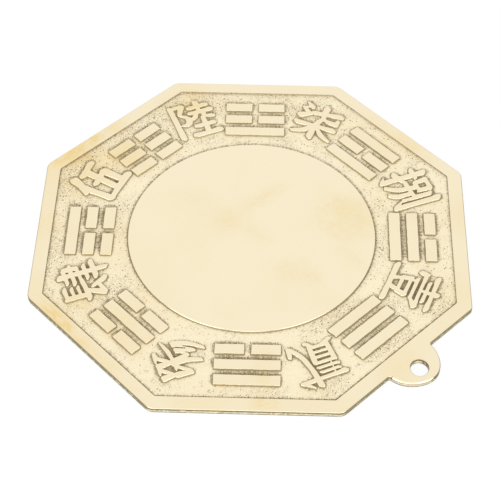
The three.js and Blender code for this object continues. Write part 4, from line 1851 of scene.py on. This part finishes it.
@dataclass(frozen=True)
class Viewpoint:
    """The camera: where it looks from and at, its focal length and frame width in pixels, and its tilt."""

    azimuth: float = math.radians(136.40)
    elevation: float = math.radians(49.60)
    distance: float = 423.37 * MM
    target: tuple[float, ...] = mm(3.568, 3.281, 0.0)
    focal_pixels: float = 1523.1
    frame_pixels: float = 500.0
    roll: float = math.radians(0.266)
    sensor: float = 36.0

    def build(self) -> bpy.types.Object:
        """Makes the camera and makes it the scene's own.

        Returns:
            The camera.
        """
        level = math.cos(self.elevation)
        x, y = math.sin(self.azimuth) * level, -math.cos(self.azimuth) * level
        back = Vector((x, y, math.sin(self.elevation)))
        right = (-back).cross(Vector((0, 0, 1))).normalized()
        up = right.cross(-back)
        rolled_right = right * math.cos(self.roll) + up * math.sin(self.roll)
        rolled_up = up * math.cos(self.roll) - right * math.sin(self.roll)
        data = bpy.data.cameras.new("camera")
        data.sensor_width = self.sensor
        data.lens = self.focal_pixels / self.frame_pixels * self.sensor
        data.clip_start = 10 * MM
        camera = new_object("camera", data)
        turn = Matrix((rolled_right, rolled_up, back)).transposed()
        camera.matrix_world = Matrix.Translation(Vector(self.target) + back * self.distance) @ turn.to_4x4()
        bpy.context.scene.camera = camera
        return camera


@dataclass(frozen=True)
class Lamp:
    """A soft square lamp that points at the object."""

    name: str
    azimuth: float
    elevation: float
    power: float
    size: float = 0.35
    distance: float = 0.8

    def build(self) -> bpy.types.Object:
        """Makes the lamp.

        Returns:
            The lamp's object.
        """
        data = bpy.data.lights.new(self.name, "AREA")
        data.energy = self.power
        data.size = self.size
        lamp = new_object(self.name, data)
        level = math.cos(self.elevation)
        x, y = math.cos(self.azimuth) * level, math.sin(self.azimuth) * level
        away = Vector((x, y, math.sin(self.elevation)))
        lamp.location = away * self.distance
        lamp.rotation_euler = away.to_track_quat("Z", "Y").to_euler()
        return lamp


WHITE = (1.0, 1.0, 1.0)
PAPER = (0.9, 0.9, 0.9)


@dataclass(frozen=True)
class Studio:
    """A white room: an even white world, a white floor and soft lamps."""

    floor_size: float = 8.0
    fill: float = 0.85
    floor_shade: float = 0.12
    floor_glow: float = 1.03
    lamps: tuple[Lamp, ...] = (
        Lamp("key_lamp", math.radians(45), math.radians(20), 0.5),
        Lamp("left_lamp", math.radians(2), math.radians(22), 2.0, size=0.6),
        Lamp("right_lamp", math.radians(88), math.radians(22), 1.4, size=0.6),
    )

    def seen_directly(self, graph: Graph) -> Signal:
        """Tells the rays that show the room as it looks from those that light the object.

        Args:
            graph: The node tree that asks.

        Returns:
            1 for a ray that the camera, a gloss or glass sends out, else 0.
        """
        path = graph.node("ShaderNodeLightPath")
        seen: Value = 0.0
        for name in ("Is Camera Ray", "Is Glossy Ray", "Is Transmission Ray"):
            seen = seen + Signal(graph, path.outputs[name])
        return seen.clamped()

    def build_world(self) -> None:
        """Makes the world: white where the camera, gloss or glass sees it, and an even fill else."""
        world = bpy.data.worlds.new("white_room")
        bpy.context.scene.world = world
        graph = Graph(world)
        strength = self.fill + self.seen_directly(graph) * (1 - self.fill)
        white = graph.node("ShaderNodeBackground", inputs={"Color": WHITE, "Strength": strength})
        graph.node("ShaderNodeOutputWorld", inputs={0: white.outputs[0]})

    def build_floor(self) -> bpy.types.Object:
        """Makes the floor, which looks white to the camera and keeps a trace of the object's shadow.

        Returns:
            The floor's object.
        """
        half = self.floor_size / 2
        mesh = bpy.data.meshes.new("floor")
        corners = [(-half, -half, 0), (half, -half, 0), (half, half, 0), (-half, half, 0)]
        mesh.from_pydata(corners, [], [(0, 1, 2, 3)])
        floor = new_object("floor", mesh)
        material = bpy.data.materials.new("white_floor")
        graph = Graph(material)
        paper = graph.node("ShaderNodeBsdfDiffuse", inputs={"Color": PAPER})
        glow = graph.node("ShaderNodeEmission", inputs={"Color": WHITE, "Strength": self.floor_glow})
        share = self.seen_directly(graph) * (1 - self.floor_shade)
        mixed = graph.node("ShaderNodeMixShader", inputs={0: share, 1: paper.outputs[0], 2: glow.outputs[0]})
        graph.node("ShaderNodeOutputMaterial", inputs={0: mixed.outputs[0]})
        mesh.materials.append(material)
        return floor

    def build(self) -> None:
        """Makes the whole studio."""
        self.build_world()
        self.build_floor()
        for lamp in self.lamps:
            lamp.build()


# Each trigram, clockwise from the tab's side, with how far sideways and outwards it was cast
TRIGRAMS = {
    "heaven": mm(0.0, 0.25),
    "wind": mm(-0.2, 0.45),
    "water": mm(-0.3, 0.18),
    "mountain": mm(-0.4, 0.0),
    "earth": mm(-0.1, -0.08),
    "thunder": mm(-0.05, 0.0),
    "fire": mm(-0.1, 0.18),
    "lake": mm(0.0, 0.1),
}
NUMERALS = ("one", "two", "three", "four", "five", "six", "seven", "eight")
NUMERAL_SEED = 100


def line_nodes(trigram: str) -> list[str]:
    """The frame's nodes of one trigram's lines."""
    return sorted(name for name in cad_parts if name.startswith(f"{trigram}_"))


def main() -> None:
    """Builds the studio and the mirror's pieces in order."""
    logging.basicConfig(level=logging.INFO, format="%(message)s")
    bpy.context.scene.view_settings.view_transform = "Standard"
    Viewpoint().build()
    Studio().build()

    plate = Plate()
    heights = (plate.floor_height, plate.thickness)
    lines = [
        (node, -index * SECTOR, shift)
        for index, (trigram, shift) in enumerate(TRIGRAMS.items())
        for node in line_nodes(trigram)
    ]
    numerals = [(f"numeral_{word}", HALF_SECTOR - index * SECTOR) for index, word in enumerate(NUMERALS)]
    cover = CoverMap(plate.apothem, [Outline.of_node(node) for node, *_ in lines + numerals])
    pieces = [plate.build(cover), MirrorDisc(plate.floor_height).build()]

    line_brass = ReliefFinish(*heights, clean_share=0.93, roughness=0.24).build("line_brass")
    for seed, (node, angle, shift) in enumerate(lines):
        line = TrigramLine(node, angle, plate.floor_height, seed, shift)
        pieces.append(line.build(line_brass, cover))

    numeral_brass = ReliefFinish(*heights, clean_share=0.92, roughness=0.28).build("numeral_brass")
    for seed, (node, angle) in enumerate(numerals, NUMERAL_SEED):
        numeral = Numeral(node, angle, plate.floor_height, seed)
        pieces.append(numeral.build(numeral_brass, cover))

    for piece in pieces:
        log.info("%s: %d faces", piece.name, len(piece.data.polygons))


if __name__ == "__main__":
    main()
